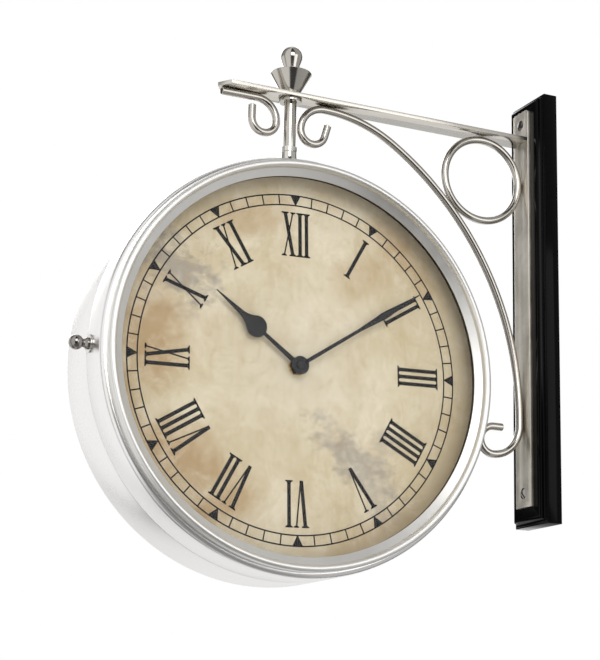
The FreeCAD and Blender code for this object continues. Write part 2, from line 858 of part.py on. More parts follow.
def hour_hand(side):
    """A stem, a round bulb and, past it, a long point with hollow shoulders."""
    name = side + "_hour_hand"
    bulb = size.hour_bulb_centre
    bulb_foot = bulb - root(size.hour_bulb_radius * size.hour_bulb_radius - size.hour_neck * size.hour_neck)
    across, along = cosine(size.hour_shoulder), sine(size.hour_shoulder)
    leave_x = size.hour_bulb_radius * across
    leave_z = bulb + size.hour_bulb_radius * along
    hollow_x = (size.hour_bulb_radius + size.hour_hollow) * across
    hollow_z = bulb + (size.hour_bulb_radius + size.hour_hollow) * along
    waist = hollow_x - size.hour_hollow
    blade = plate(name + "_blade", "XZ_Plane", [
        (-size.hour_stem, 0),
        (size.hour_stem, 0),
        (size.hour_neck, bulb_foot),
        (leave_x, leave_z, 0, bulb, 1),
        (waist, hollow_z, hollow_x, hollow_z, -1),
        (size.hand_tip, size.hour_length),
        (-size.hand_tip, size.hour_length),
        (-waist, hollow_z),
        (-leave_x, leave_z, -hollow_x, hollow_z, -1),
        (-size.hour_neck, bulb_foot, 0, bulb, 1),
    ], size.hour_thick, size.hour_reach)
    hub_y = -size.hour_reach - size.hour_thick
    hub = cylinder("y", size.hour_hub, size.hour_thick, y=hub_y)
    collar = cylinder("y", size.hour_collar, size.hour_thick + size.hour_collar_depth, y=hub_y)
    bore_length = size.hour_thick + size.hour_collar_depth
    bore = cylinder("y", size.hour_tube_radius + size.fixed_fit, bore_length, y=hub_y)
    hang_at_dial(cut(name, fused(name + "_solid", blade, hub, collar), bore), side, size.hour_angle)


def hour_tube(side):
    length = size.hour_tube_reach + size.hour_tube_depth
    tube = cylinder("y", size.hour_tube_radius, length, y=-size.hour_tube_reach)
    bore = cylinder("y", size.shaft_radius + size.running_fit, length, y=-size.hour_tube_reach)
    hang_at_dial(cut(side + "_hour_tube", tube, bore), side, size.hour_angle)


def minute_hand(side):
    """A slender blade, widest well out, on a round hub."""
    name = side + "_minute_hand"
    blade = plate(name + "_blade", "XZ_Plane", [
        (-size.minute_stem, 0),
        (size.minute_stem, 0),
        (size.minute_neck, size.minute_neck_at),
        (size.minute_wide, size.minute_wide_at),
        (size.hand_tip, size.minute_length),
        (-size.hand_tip, size.minute_length),
        (-size.minute_wide, size.minute_wide_at),
        (-size.minute_neck, size.minute_neck_at),
    ], size.minute_thick, size.minute_reach)
    hub_y = -size.minute_reach - size.minute_thick
    hub = cylinder("y", size.minute_hub, size.minute_thick, y=hub_y)
    bore_length = size.minute_thick + size.minute_collar_depth
    collar = cylinder("y", size.minute_collar, bore_length, y=hub_y)
    bore = cylinder("y", size.shaft_radius + size.fixed_fit, bore_length, y=hub_y)
    hang_at_dial(cut(name, fused(name + "_solid", blade, hub, collar), bore), side, size.minute_angle)


def minute_shaft(side):
    hang_at_dial(turned(side + "_minute_shaft", "XY_Plane", [
        (0, -size.shaft_reach),
        (size.shaft_radius, -size.shaft_reach),
        (size.shaft_radius, size.shaft_depth),
        (0, size.shaft_depth),
    ]), side, size.minute_angle)


def hand_cap(side):
    """The small round nut that closes the end of the minute shaft."""
    back = -size.minute_reach - size.minute_thick
    front = back - size.cap_thick
    bore = size.shaft_radius + size.fixed_fit
    hang_at_dial(turned(side + "_hand_cap", "XY_Plane", [
        (0, front),
        (size.cap_radius - size.cap_edge, front),
        (size.cap_radius, front + size.cap_edge),
        (size.cap_radius, back),
        (bore, back),
        (bore, -size.shaft_reach - size.fixed_fit),
        (0, -size.shaft_reach - size.fixed_fit),
    ]), side, size.minute_angle)


# Cover hinge

def hinge_leaf(label, y, own_knuckles, notches):
    """A leaf bedded on the drum, with its knuckles round the pin and room for the other leaf's."""
    width = 2 * size.hinge_leaf
    height = 2 * size.hinge_half
    blank = block(width, size.hinge_width, height, size.case_radius - size.hinge_leaf, y, -size.hinge_half)
    drum = cylinder("y", size.case_radius, size.hinge_width, y=y)
    notch_radius = size.hinge_knuckle + size.hinge_notch_gap
    pin_y = -size.seam_reach
    room = [cylinder("z", notch_radius, end - start, hinge_x, pin_y, start) for start, end in notches]
    knuckles = []
    for start, end in own_knuckles:
        knuckles.append(cylinder("z", size.hinge_knuckle, end - start, hinge_x, -size.seam_reach, start))
    bedded = cut(label + "_bedded", blank, drum, *room)
    solid = fused(label + "_solid", bedded, *knuckles)
    bore = cylinder("z", hinge_bore, height, hinge_x, -size.seam_reach, -size.hinge_half)
    inset = size.rivet_inset if label.endswith("rear") else -size.rivet_inset
    rivet_ways = rivet_holes(inset - size.seam_reach, tab_inside, hinge_x)
    hang(cut(label, solid, bore, *rivet_ways))


def hinge():
    middle = size.hinge_middle
    outer = middle + size.hinge_split
    front_y = -size.seam_reach - size.hinge_seam_gap - size.hinge_width
    rear_y = size.hinge_seam_gap - size.seam_reach
    beyond = [(-size.hinge_half, -middle), (middle, size.hinge_half)]
    ends = [(-size.hinge_half, -outer), (outer, size.hinge_half)]
    hinge_leaf("hinge_leaf_front", front_y, [(-middle, middle)], beyond)
    hinge_leaf("hinge_leaf_rear", rear_y, ends, [(-outer, outer)])
    pin = cylinder("z", size.hinge_pin, 2 * size.hinge_half, hinge_x, -size.seam_reach, -size.hinge_half)
    cap = size.hinge_pin_cap
    heads = []
    for z in (size.hinge_half, -size.hinge_half - cap):
        heads.append(cylinder("z", size.hinge_pin_head, cap, hinge_x, -size.seam_reach, z))
    hang(fused("hinge_pin", pin, *heads))


def hinge_rivets(label, y, inner_radius):
    """Two rivets along X, domed on the leaf and flush inside the drum."""
    inside = root(inner_radius * inner_radius - size.rivet_rise * size.rivet_rise)
    dome = size.rivet_dome
    sphere = (size.rivet_head * size.rivet_head + dome * dome) / (2 * dome)
    rivets = []
    for end in (-1, 1):
        rivet = turned("%s_%d" % (label, len(rivets)), "XY_Plane", [
            (inside, 0),
            (inside, size.rivet_shank),
            (leaf_top, size.rivet_shank),
            (leaf_top, size.rivet_head),
            (leaf_top + dome, 0, leaf_top + dome - sphere, 0, -1),
        ], "H_Axis")
        rivets.append(place(rivet, 0, y, end * size.rivet_rise))
    hang(group(label, rivets))


# Latch, along -X

def latch():
    skin = -size.case_radius
    washer_face = skin - size.fixed_fit
    shoulder = washer_face - size.latch_washer_thick - size.fixed_fit
    ball_x = skin - size.latch_reach + size.latch_ball
    neck_x = ball_x + root(size.latch_ball * size.latch_ball - size.latch_neck * size.latch_neck)
    tip = skin + size.latch_tip
    point = size.latch_shank / 4
    hang(turned("latch_screw", "XY_Plane", [
        (tip, 0),
        (tip, size.latch_shank - point),
        (tip - point, size.latch_shank),
        (shoulder, size.latch_shank),
        (shoulder, size.latch_shoulder),
        (skin - size.latch_shoulder_end, size.latch_shoulder),
        (skin - size.latch_neck_end, size.latch_neck),
        (neck_x, size.latch_neck),
        (skin - size.latch_reach, 0, ball_x, 0, 1),
    ], "H_Axis"), y=latch_y)
    hang(turned("latch_washer", "XY_Plane", [
        (washer_face, latch_bore),
        (washer_face, size.latch_washer_radius),
        (washer_face - size.latch_washer_thick, size.latch_washer_radius),
        (washer_face - size.latch_washer_thick, latch_bore),
    ], "H_Axis"), y=latch_y)
    nut_radius = size.latch_nut_radius
    nut_face = size.fixed_fit - root(spigot_inside * spigot_inside - nut_radius * nut_radius)
    hang(turned("latch_nut", "XY_Plane", [
        (nut_face, latch_bore),
        (nut_face, nut_radius),
        (nut_face + size.latch_nut_length, nut_radius),
        (nut_face + size.latch_nut_length, latch_bore),
    ], "H_Axis"), y=latch_y)


# Hanger, drawn about its upright axis

def hanger_pipe():
    bottom = size.case_radius + size.pipe_foot
    top = cup_base + size.pipe_entry
    hang(turned("hanger_pipe", "XZ_Plane", [
        (size.pipe_radius - size.pipe_wall, bottom),
        (size.pipe_radius, bottom),
        (size.pipe_radius, top),
        (size.pipe_radius - size.pipe_wall, top),
    ]))


def hanger_rod():
    bottom = washer_seat - size.washer_thick - size.lock_nut_thick - size.rod_tail
    hang(turned("hanger_rod", "XZ_Plane", [
        (0, bottom),
        (size.rod_radius - size.rod_point, bottom),
        (size.rod_radius, bottom + size.rod_point),
        (size.rod_radius, rod_top),
        (0, rod_top),
    ]))


def arm_flange():
    top = size.arm_rise - size.swivel_gap
    bottom = top - size.arm_flange_thick
    hang(turned("arm_flange", "XZ_Plane", [
        (pipe_socket, bottom),
        (size.arm_flange_radius, bottom),
        (size.arm_flange_radius, top),
        (pipe_socket, top),
    ]))


def base_collar():
    """The turned collar that seats the pipe on the drum, with a hollow flare and a ring on top."""
    foot = size.case_radius - size.case_wall
    shoulder = size.case_radius + size.collar_edge
    waist = collar_top - size.collar_ring_height
    bite = size.collar_shoulder - size.collar_waist
    rise = waist - shoulder
    flare = (bite * bite + rise * rise) / (2 * bite)
    groove = size.collar_groove
    blank = turned("base_collar", "XZ_Plane", [
        (pipe_socket, foot),
        (size.collar_flange, foot),
        (size.collar_flange, shoulder - size.collar_bevel),
        (size.collar_shoulder, shoulder),
        (size.collar_waist, waist, size.collar_waist + flare, waist, -1),
        (size.collar_waist - groove, waist + groove),
        (size.collar_ring, waist + 2 * groove),
        (size.collar_ring, collar_top),
        (pipe_socket, collar_top),
    ])
    width = size.collar_flange + size.case_wall
    drum = cylinder("y", size.case_radius + size.collar_seat, 2 * width, y=-width)
    hang(cut("base_collar", blank, drum))


def cup():
    """The turned cup that bears on the arm, with a dished top and a socket for the pipe."""
    edge = size.cup_edge
    rim = size.cup_rim - edge
    dish = size.cup_dish_radius
    span = rim - dish
    hollow = (span * span + size.cup_dish_depth * size.cup_dish_depth) / (2 * size.cup_dish_depth)
    hang(turned("cup", "XZ_Plane", [
        (pipe_socket, cup_base),
        (size.cup_foot, cup_base),
        (size.cup_bulge, cup_base + size.cup_bulge_height),
        (size.cup_rim, cup_top - edge),
        (rim, cup_top, rim, cup_top - edge, 1),
        (dish, cup_floor, dish, cup_floor + hollow, -1),
        (rod_bore, cup_floor),
        (rod_bore, cup_base + size.cup_socket),
        (pipe_socket, cup_base + size.cup_socket),
    ]))


def finial():
    """The ball nut that closes the tie rod, on a neck that stands in the cup's dish."""
    foot = cup_floor + size.fixed_fit
    foot_top = foot + size.finial_foot_height
    neck_top = foot + size.finial_neck_height
    join_x = size.ball_radius * cosine(size.finial_flare)
    join_z = ball_rise - size.ball_radius * sine(size.finial_flare)
    bore_top = rod_top + size.fixed_fit
    hang(turned("finial", "XZ_Plane", [
        (rod_bore, foot),
        (size.finial_foot, foot),
        (size.finial_neck, foot_top),
        (size.finial_neck, neck_top),
        (join_x, join_z),
        (0, ball_rise + size.ball_radius, 0, ball_rise, 1),
        (0, bore_top),
        (rod_bore, bore_top),
    ]))


def lock_fixings():
    """The washer and the nut that pull the tie rod down inside the drum."""
    top = washer_seat - size.fixed_fit
    bottom = top - size.washer_thick
    hang(turned("lock_washer", "XZ_Plane", [
        (rod_bore, bottom),
        (size.washer_radius, bottom),
        (size.washer_radius, top),
        (rod_bore, top),
    ]))
    nut_bottom = bottom - size.lock_nut_thick
    blank = prism("z", 6, hexagon_radius(size.lock_nut_flats), size.lock_nut_thick, z=nut_bottom)
    thread = cylinder("z", rod_bore, size.lock_nut_thick, z=nut_bottom)
    hang(cut("lock_nut", blank, thread))


# Bracket

def bracket_arm():
    half = size.flat_width / 2
    outline = [
        (-size.arm_tip, 0),
        (size.arm_point - size.arm_tip, -half),
        (strap_face, -half),
        (strap_face, half),
        (size.arm_point - size.arm_tip, half),
    ]
    pivot = [(0, 0, size.pipe_radius + size.pivot_fit)]
    hang(plate("bracket_arm", "XY_Plane", outline, size.arm_thick, size.arm_rise, circles=pivot))


def end_scroll():
    """The scroll under the arm's free end."""
    bend = size.end_scroll_bend
    curl = size.end_scroll_curl
    turn_x = size.end_scroll_run - size.end_scroll_start
    low = bar_rise - bend
    outer = turn_x + bend
    inner = outer - 2 * curl
    route = [
        (-size.end_scroll_start, bar_rise),
        (turn_x, bar_rise),
        (outer, low, turn_x, low, -1),
        (inner, low, outer - curl, low, -1),
        (inner, low + size.end_scroll_tail),
    ]
    hang(rod("end_scroll", route, 0))


def brace_geometry():
    """The brace's two long arcs, which meet in a tangent: their radii and centres."""
    split = size.brace_split
    across = bar_reach - size.brace_start
    down = size.brace_drop
    lean = 1 - sine(split)
    dip = 1 - cosine(split)
    share = sine(split) * cosine(split) - lean * dip
    upper = worked("brace_upper_radius", (across * cosine(split) - down * lean) / share)
    lower = worked("brace_lower_radius", (down * sine(split) - across * dip) / share)
    upper_z = worked("brace_upper_z", bar_rise - upper)
    lower_x = worked("brace_lower_x", size.brace_start + (upper - lower) * sine(split))
    lower_z = worked("brace_lower_z", upper_z + (upper - lower) * cosine(split))
    return upper, upper_z, lower, lower_x, lower_z


def brace_scroll():
    """One bar from the small curl over the drum, along the arm, down the long sweep to the foot."""
    upper, upper_z, lower, lower_x, lower_z = brace_geometry()
    split = size.brace_split
    curl = size.brace_curl
    turn_z = bar_rise - size.brace_bend
    side_x = size.brace_start - size.brace_bend
    curl_x = side_x + curl
    rise = 90 - size.brace_curl_turn
    tail_x = curl_x + curl * cosine(rise)
    tail_z = turn_z - curl * sine(rise)
    join_x = size.brace_start + upper * sine(split)
    join_z = upper_z + upper * cosine(split)
    foot_z = lower_z - size.brace_run
    foot_x = bar_reach - size.foot_bend
    low_z = foot_z - size.foot_bend
    end_z = low_z + 2 * size.foot_curl
    route = [
        (tail_x + size.brace_curl_tail * sine(rise), tail_z + size.brace_curl_tail * cosine(rise)),
        (tail_x, tail_z),
        (side_x, turn_z, curl_x, turn_z, -1),
        (size.brace_start, bar_rise, size.brace_start, turn_z, -1),
        (join_x, join_z, size.brace_start, upper_z, -1),
        (bar_reach, lower_z, lower_x, lower_z, -1),
        (bar_reach, foot_z),
        (foot_x, low_z, foot_x, foot_z, -1),
        (foot_x, end_z, foot_x, low_z + size.foot_curl, -1),
        (foot_x + size.foot_tail, end_z),
    ]
    hang(rod("brace_scroll", route, 90 - rise))
    return lower, lower_x, lower_z


def bracket_ring(lower, lower_x, lower_z):
    """The ring in the corner: as large as touches the arm, the strap and the brace."""
    corner_x = strap_face - size.weld_gap
    corner_z = size.arm_rise - size.weld_gap
    across = corner_x - lower_x
    up = corner_z - lower_z
    reach = lower + size.bar_radius + size.weld_gap
    total = across + up + reach
    outer = worked("ring_radius", total - root(total * total - across * across - up * up + reach * reach))
    torus = document.addObject("Part::Torus", "bracket_ring")
    torus.Label = "bracket_ring"
    bind(torus, "Radius1", outer - size.bar_radius)
    bind(torus, "Radius2", size.bar_radius)
    hang(torus, x=corner_x - outer, z=corner_z - outer, turn=Rotation(Vector(1, 0, 0), 90))


# Strap, backboard and their fixings, in the places that they have beside the drum

def strap_hole_heights():
    return size.strap_top - size.strap_hole_inset, strap_bottom + size.strap_hole_inset


def wall_strap():
    half = size.flat_width / 2
    corner = size.strap_corner
    shoulder = size.strap_top - corner
    blank = plate("wall_strap", "YZ_Plane", [
        (-half, strap_bottom),
        (half, strap_bottom),
        (half, shoulder),
        (half - corner, size.strap_top, half - corner, shoulder, 1),
        (corner - half, size.strap_top),
        (-half, shoulder, corner - half, shoulder, 1),
    ], size.strap_thick, strap_face)
    fit = size.fixed_fit
    ways = []
    for z in strap_hole_heights():
        shank, head = size.screw_shank + fit, size.screw_head + fit
        ways.append(cylinder("x", shank, size.strap_thick, strap_face, 0, z))
        ways.append(cone("x", head, shank, size.screw_cone, strap_face, 0, z))
    hang(cut("wall_strap", blank, *ways))


def strap_screws():
    """Two countersunk screws, each with its slot as it was left."""
    screws = []
    for z, slot_angle in zip(strap_hole_heights(), (70, -45)):
        label = "strap_screw_%d" % len(screws)
        blank = turned(label, "XY_Plane", [
            (0, 0),
            (0, size.screw_head),
            (size.screw_cone, size.screw_shank),
            (size.screw_length - size.screw_shank, size.screw_shank),
            (size.screw_length, 0),
        ], "H_Axis")
        head = size.screw_head
        slot = block(size.screw_slot_depth, size.screw_slot, 2 * head, 0, -size.screw_slot / 2, -head)
        turn = Rotation(Vector(1, 0, 0), slot_angle)
        centre = turn.multVec(Vector(0, -size.screw_slot.value / 2, -head.value))
        slot.clearExpression("Placement.Base.y")
        slot.Placement = Placement(centre, turn)
        screws.append(place(cut(label + "_slotted", blank, slot), strap_face, 0, z))
    hang(group("strap_screws", screws))


def moulded(low, high):
    """The board's cut face between two edges, with the ogee moulding along both."""
    wall = size.wall_reach
    side = wall - size.board_side
    rise = side - size.mould_rise
    deep = (rise - board_face) / 2
    wide = (size.mould_width - size.mould_step) / 2
    curve = (deep * deep + wide * wide) / (2 * deep)
    edges = []
    for edge, sign in ((low, 1), (high, -1)):
        step = edge + sign * size.mould_step
        middle = step + sign * wide
        crest = edge + sign * size.mould_width
        moulding = [(side, step), (rise, step), (rise - deep, middle), (board_face, crest)]
        edges.append([(wall, edge), (side, edge)] + moulding)
    lower, upper = edges
    hollow_low = (lower[4] + (rise - curve, lower[3][1], 1))
    crown_low = (lower[5] + (board_face + curve, lower[5][1], -1))
    crown_high = (upper[4] + (board_face + curve, upper[5][1], -1))
    hollow_high = (upper[3] + (rise - curve, upper[3][1], 1))
    return lower[:4] + [hollow_low, crown_low, upper[5], crown_high, hollow_high] + upper[2::-1]


def plate_heights():
    middle = (size.board_top + board_bottom) / 2
    return [middle + end * size.plate_spacing / 2 for end in (-1, 1)]


def backboard():
    """The wooden board: two moulded lengths, one across and one along, give its mitred edge."""
    half = size.board_width / 2
    extra = size.mould_width
    across = moulded(-half, half)
    along = moulded(board_bottom, size.board_top)
    length = size.board_length + 2 * extra
    blank_across = plate("board_across", "XY_Plane", across, length, board_bottom - extra)
    blank_along = plate("board_along", "XZ_Plane", along, size.board_width + 2 * extra, -half - extra)
    ways = []
    for z in strap_hole_heights():
        depth = size.screw_length - size.strap_thick
        ways.append(cylinder("x", size.screw_shank + size.fixed_fit, depth, board_face, 0, z))
    play = size.plate_play
    for z in plate_heights():
        recess_width = size.plate_width + 2 * play
        recess_x = size.wall_reach - size.plate_thick
        low = z - size.plate_length / 2 - play
        length = size.plate_length + 2 * play
        ways.append(block(size.plate_thick, recess_width, length, recess_x, -recess_width / 2, low))
        room = size.keyhole_room
        room_height = size.keyhole_rise + 2 * room
        room_x = recess_x - size.keyhole_cavity
        room_z = z - size.keyhole_rise / 2 - room
        ways.append(block(size.keyhole_cavity, 2 * room, room_height, room_x, -room, room_z))
        for end in (-1, 1):
            screw_z = z + end * (size.plate_length / 2 - size.plate_screw_inset)
            start = size.wall_reach - size.plate_screw_length
            radius = size.plate_screw_shank + size.fixed_fit
            ways.append(cylinder("x", radius, size.plate_screw_length, start, 0, screw_z))
    hang(cut("backboard", common("board_blank", blank_across, blank_along), *ways))


def hanger_plates():
    """Two steel keyhole plates let into the board's back: the hole below, the slot above it."""
    pieces = []
    half = size.plate_width / 2
    start = size.wall_reach - size.plate_thick
    thick = size.plate_thick
    for z in plate_heights():
        label = "hanger_plate_%d" % len(pieces)
        low, high = z - size.plate_length / 2, z + size.plate_length / 2
        outline = [(-half, low), (half, low), (half, high), (-half, high)]
        blank = plate(label, "YZ_Plane", outline, thick, start)
        hole_z = z - size.keyhole_rise / 2
        slot_z = hole_z + size.keyhole_rise
        ways = [
            cylinder("x", size.keyhole_radius, thick, start, 0, hole_z),
            cylinder("x", size.keyhole_slot, thick, start, 0, slot_z),
            block(thick, 2 * size.keyhole_slot, size.keyhole_rise, start, -size.keyhole_slot, hole_z),
        ]
        for end in (-1, 1):
            screw_z = z + end * (size.plate_length / 2 - size.plate_screw_inset)
            narrow = size.plate_screw_shank + size.fixed_fit
            wide = size.plate_screw_head + size.fixed_fit
            ways.append(cone("x", narrow, wide, thick, start, 0, screw_z))
        pieces.append(cut(label + "_cut", blank, *ways))
    hang(group("hanger_plates", pieces))


def hanger_plate_screws():
    screws = []
    thick = size.plate_thick
    length = size.plate_screw_length
    for z in plate_heights():
        for end in (-1, 1):
            screw_z = z + end * (size.plate_length / 2 - size.plate_screw_inset)
            screw = turned("hanger_plate_screw_%d" % len(screws), "XY_Plane", [
                (0, 0),
                (0, size.plate_screw_head),
                (-thick, size.plate_screw_shank),
                (size.plate_screw_shank - length, size.plate_screw_shank),
                (-length, 0),
            ], "H_Axis")
            screws.append(place(screw, size.wall_reach, 0, screw_z))
    hang(group("hanger_plate_screws", screws))


front_shell()
rear_shell()
joint_band()
for face in ("front", "rear"):
    bezel(face)
    glass(face)
    glass_gasket(face)
    dial(face)
    dial_tabs(face)
    dial_screws(face)
    movement_case(face)
    battery(face)
    set_knob(face)
    shaft_nut(face)
    hour_hand(face)
    hour_tube(face)
    minute_hand(face)
    minute_shaft(face)
    hand_cap(face)
hinge()
hinge_rivets("hinge_rivets_front", -size.seam_reach - size.rivet_inset, case_inside)
hinge_rivets("hinge_rivets_rear", size.rivet_inset - size.seam_reach, band_inside)
latch()
hanger_pipe()
hanger_rod()
arm_flange()
base_collar()
cup()
finial()
lock_fixings()
bracket_arm()
end_scroll()
bracket_ring(*brace_scroll())
wall_strap()
strap_screws()
backboard()
hanger_plates()
hanger_plate_screws()

document.recompute()

for thing in document.Objects:
    if "Invalid" in thing.State or "Error" in thing.State:
        raise RuntimeError("%s did not recompute: %s" % (thing.Label, thing.State))
for piece in finished:
    if piece.Shape.isNull() or not piece.Shape.isValid():
        raise RuntimeError("%s has no sound shape" % piece.Label)

os.makedirs("parts", exist_ok=True)
for piece in finished:
    piece.Shape.exportStep("parts/%s.step" % piece.Label)
print("%d pieces written" % len(finished))
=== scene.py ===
import json
import math

import bmesh
import bpy
from mathutils import Matrix, Vector


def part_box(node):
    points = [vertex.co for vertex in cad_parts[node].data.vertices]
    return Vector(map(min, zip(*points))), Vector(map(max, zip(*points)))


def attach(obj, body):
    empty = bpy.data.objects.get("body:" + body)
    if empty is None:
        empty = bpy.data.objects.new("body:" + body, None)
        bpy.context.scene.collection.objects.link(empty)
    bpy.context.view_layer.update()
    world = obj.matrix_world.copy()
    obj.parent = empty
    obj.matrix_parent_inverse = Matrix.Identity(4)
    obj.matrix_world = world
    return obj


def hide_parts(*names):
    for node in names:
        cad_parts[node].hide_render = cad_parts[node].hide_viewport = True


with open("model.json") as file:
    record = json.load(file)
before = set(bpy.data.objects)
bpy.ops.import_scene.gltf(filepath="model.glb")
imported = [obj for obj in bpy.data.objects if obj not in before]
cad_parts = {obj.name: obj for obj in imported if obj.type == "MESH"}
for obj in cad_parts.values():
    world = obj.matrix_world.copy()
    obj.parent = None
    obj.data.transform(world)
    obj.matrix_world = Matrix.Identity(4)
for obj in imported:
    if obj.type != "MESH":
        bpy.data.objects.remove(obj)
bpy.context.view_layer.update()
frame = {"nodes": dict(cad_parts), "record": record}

# Lengths are in millimetres here and turned to metres where a mesh is made. Profiles are drawn
# about the drum's centre: (radius, depth) for what turns about the dials' axis, with -Y towards
# the front's viewer, and (radius, height) for what turns about the hanger's upright axis.

MM = 0.001
shell_low, shell_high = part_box("rear_shell")
CENTRE = Vector(((shell_low.x + shell_high.x) / 2, 0.0, (shell_low.z + shell_high.z) / 2))

# Drum
CASE_RADIUS = 152.5
CASE_WALL = 1.2
CASE_REACH = 39.0
CASE_CORNER = 4.0
SEAM = -8.0
SEAM_GAP = 0.25
LIP_RADIUS = 140.2
BEZEL_BORE = 137.6
BEAD_RADIUS = 2.65
BEZEL_HEIGHT = 7.98
BEZEL_CREASE = 3.4
BEZEL_EDGE = 0.8
GLASS_RADIUS = 139.6
GLASS_FRONT = -38.9
GLASS_THICK = 2.0

# Dial
DIAL_RADIUS = 147.5
DIAL_REACH = 23.0
DIAL_THICK = 1.0
BUSH_HOLE = 4.25
PRINT_LIFT = 0.06
PRINT_FOOT = 0.01
TRACK_OUTER = 128.5
TRACK_INNER = 120.9
TRACK_LINE = 1.05
TICK_LINE = 1.0
MARK_HALF = 4.2
MARK_POINT = 0.3
PRINT_TURN = -1.9
NUMERAL_FOOT = 82.0
NUMERAL_TOP = 115.5
STROKE = 2.8
THIN_STROKE = 1.15
SERIF_THICK = 0.8
SERIF_REACH = 1.5
SERIF_BRACKET = 0.9
STROKE_PITCH = 5.2
LETTER_GAP = 1.0
V_WIDTH = 12.0
X_WIDTH = 11.2

# Hands, in front of their dial
HOUR_ANGLE = 306.0
MINUTE_ANGLE = 56.0
HOUR_FACE = 5.2
HOUR_THICK = 0.6
HOUR_LENGTH = 81.0
HOUR_BULB = 42.0
HOUR_BULB_RADIUS = 8.0
HOUR_HOLLOW = 18.0
HOUR_SHOULDER = 40.0
HOUR_STEM = 2.0
HOUR_NECK = 1.4
HOUR_HUB = 5.0
MINUTE_FACE = 7.4
MINUTE_THICK = 0.5
MINUTE_LENGTH = 116.5
MINUTE_STEM = 1.5
MINUTE_NECK = 1.2
MINUTE_NECK_AT = 56.0
MINUTE_WIDE = 2.75
MINUTE_WIDE_AT = 81.0
MINUTE_HUB = 6.7
HAND_TIP = 0.3
HAND_ROOT = 3.0
CAP_RADIUS = 3.7
CAP_THICK = 1.9
CAP_PEG = 1.65
CAP_PEG_DEPTH = 1.2

# Hanger
PIPE_RADIUS = 4.75
PIPE_WALL = 1.35
SLIP_FIT = 0.05
PIPE_FOOT = 152.8
PIPE_TOP = 216.5
FLANGE_RADIUS = 8.75
FLANGE_LOW = 210.0
FLANGE_HIGH = 212.3
CUP_BASE = 215.7
CUP_HEIGHT = 17.8
CUP_FOOT = 6.2
CUP_BULGE = 8.9
CUP_BULGE_AT = 4.8
CUP_RIM = 15.8
CUP_EDGE = 0.9
CUP_DISH_RADIUS = 6.0
CUP_DISH_DEPTH = 4.2
CUP_SOCKET = 1.5
BALL_RADIUS = 8.4
BALL_HEIGHT = 247.2
NECK_RADIUS = 3.9
TAPER_DROP = 15.0
NECK_FOOT = 5.0
NECK_FLARE = 1.8
ROD_END = 2.15
ROD_BORE = 3.05

# Bracket
BAR_RADIUS = 3.0
BAR_RISE = 209.45
BAR_REACH = 200.95
END_START = -56.0
END_BEND = 16.9
END_BEND_AT = -28.2
END_CURL = 10.0
END_CURL_AT = -21.3
END_TAIL = 9.9
BRACE_START = 28.0
BRACE_SPLIT = 32.0
BRACE_DROP = 222.0
BRACE_TURN = 19.0
BRACE_CURL = 10.2
BRACE_TAIL_TILT = 15.6
BRACE_TAIL = 9.0
FOOT_DROP = 6.4
FOOT_TURN = 24.0
FOOT_CURL = 10.8
FOOT_TAIL = 8.0

# Latch
LATCH_DEPTH = -15.0
LATCH_REACH = 15.1
LATCH_BALL = 5.25
LATCH_NECK = 2.9
LATCH_COLLAR = 4.2
LATCH_COLLAR_THICK = 1.3
LATCH_SHOULDER = 2.9
LATCH_THREAD = 2.5
LATCH_POINT = 1.9
LATCH_END = 7.5
LATCH_CHAMFER = 0.6
WASHER_RADIUS = 6.5
WASHER_THICK = 1.25

# The camera stands below and to the left of the clock, as in the photograph: degrees, a distance in
# metres from the point aimed at, and that point in millimetres from the middle of the front dial.
AZIMUTH = -24.53
ELEVATION = -14.1
ROLL = 1.38
DISTANCE = 1.2455
FOCAL_PIXELS = 1725.4
AIM = Vector((2.05, 0.0, 27.6))
PICTURE_HEIGHT = 660
SENSOR_HEIGHT = 24.0

AMBIENT = 0.78
FLOOR_SIZE = 12.0
FLOOR_LEVEL = -0.75
SMOOTH_ANGLE = math.radians(32)
TURN_STEPS = 240


# Meshes

def add_mesh(name, vertices, faces, smooth=True):
    mesh = bpy.data.meshes.new(name)
    mesh.from_pydata([(Vector(v) * MM + CENTRE)[:] for v in vertices], [], faces)
    mesh.validate()
    build = bmesh.new()
    build.from_mesh(mesh)
    bmesh.ops.recalc_face_normals(build, faces=build.faces)
    build.to_mesh(mesh)
    build.free()
    if smooth:
        for polygon in mesh.polygons:
            polygon.use_smooth = True
        mesh.set_sharp_from_angle(angle=SMOOTH_ANGLE)
    piece = bpy.data.objects.new(name, mesh)
    bpy.context.scene.collection.objects.link(piece)
    return piece


def arc(centre_x, centre_y, radius, start, end, steps=10):
    """Points along an arc, its two ends in degrees."""
    points = []
    for step in range(steps + 1):
        angle = math.radians(start + (end - start) * step / steps)
        points.append((centre_x + radius * math.cos(angle), centre_y + radius * math.sin(angle)))
    return points


def softened(outline, radius, steps=3):
    """Round every clear corner of a closed outline, as a worn or moulded edge is."""
    points = [Vector(point) for point in outline]
    count = len(points)
    result = []
    for index, point in enumerate(points):
        before = points[index - 1] - point
        after = points[(index + 1) % count] - point
        on_axis = abs(point.x) < 1e-6
        if on_axis or min(before.length, after.length) < 1e-6:
            result.append(tuple(point))
            continue
        bend = math.pi - before.angle(after)
        if bend < math.radians(20):
            result.append(tuple(point))
            continue
        back = min(radius * math.tan(bend / 2), 0.4 * before.length, 0.4 * after.length)
        first = point + before.normalized() * back
        last = point + after.normalized() * back
        for step in range(steps + 1):
            along = step / steps
            near = first.lerp(point, along)
            far = point.lerp(last, along)
            result.append(tuple(near.lerp(far, along)))
    return result


TURN_ABOUT = {
    "x": lambda radius, height, cosine, sine: (height, radius * cosine, radius * sine),
    "y": lambda radius, height, cosine, sine: (radius * cosine, height, radius * sine),
    "z": lambda radius, height, cosine, sine: (radius * cosine, radius * sine, height),
}


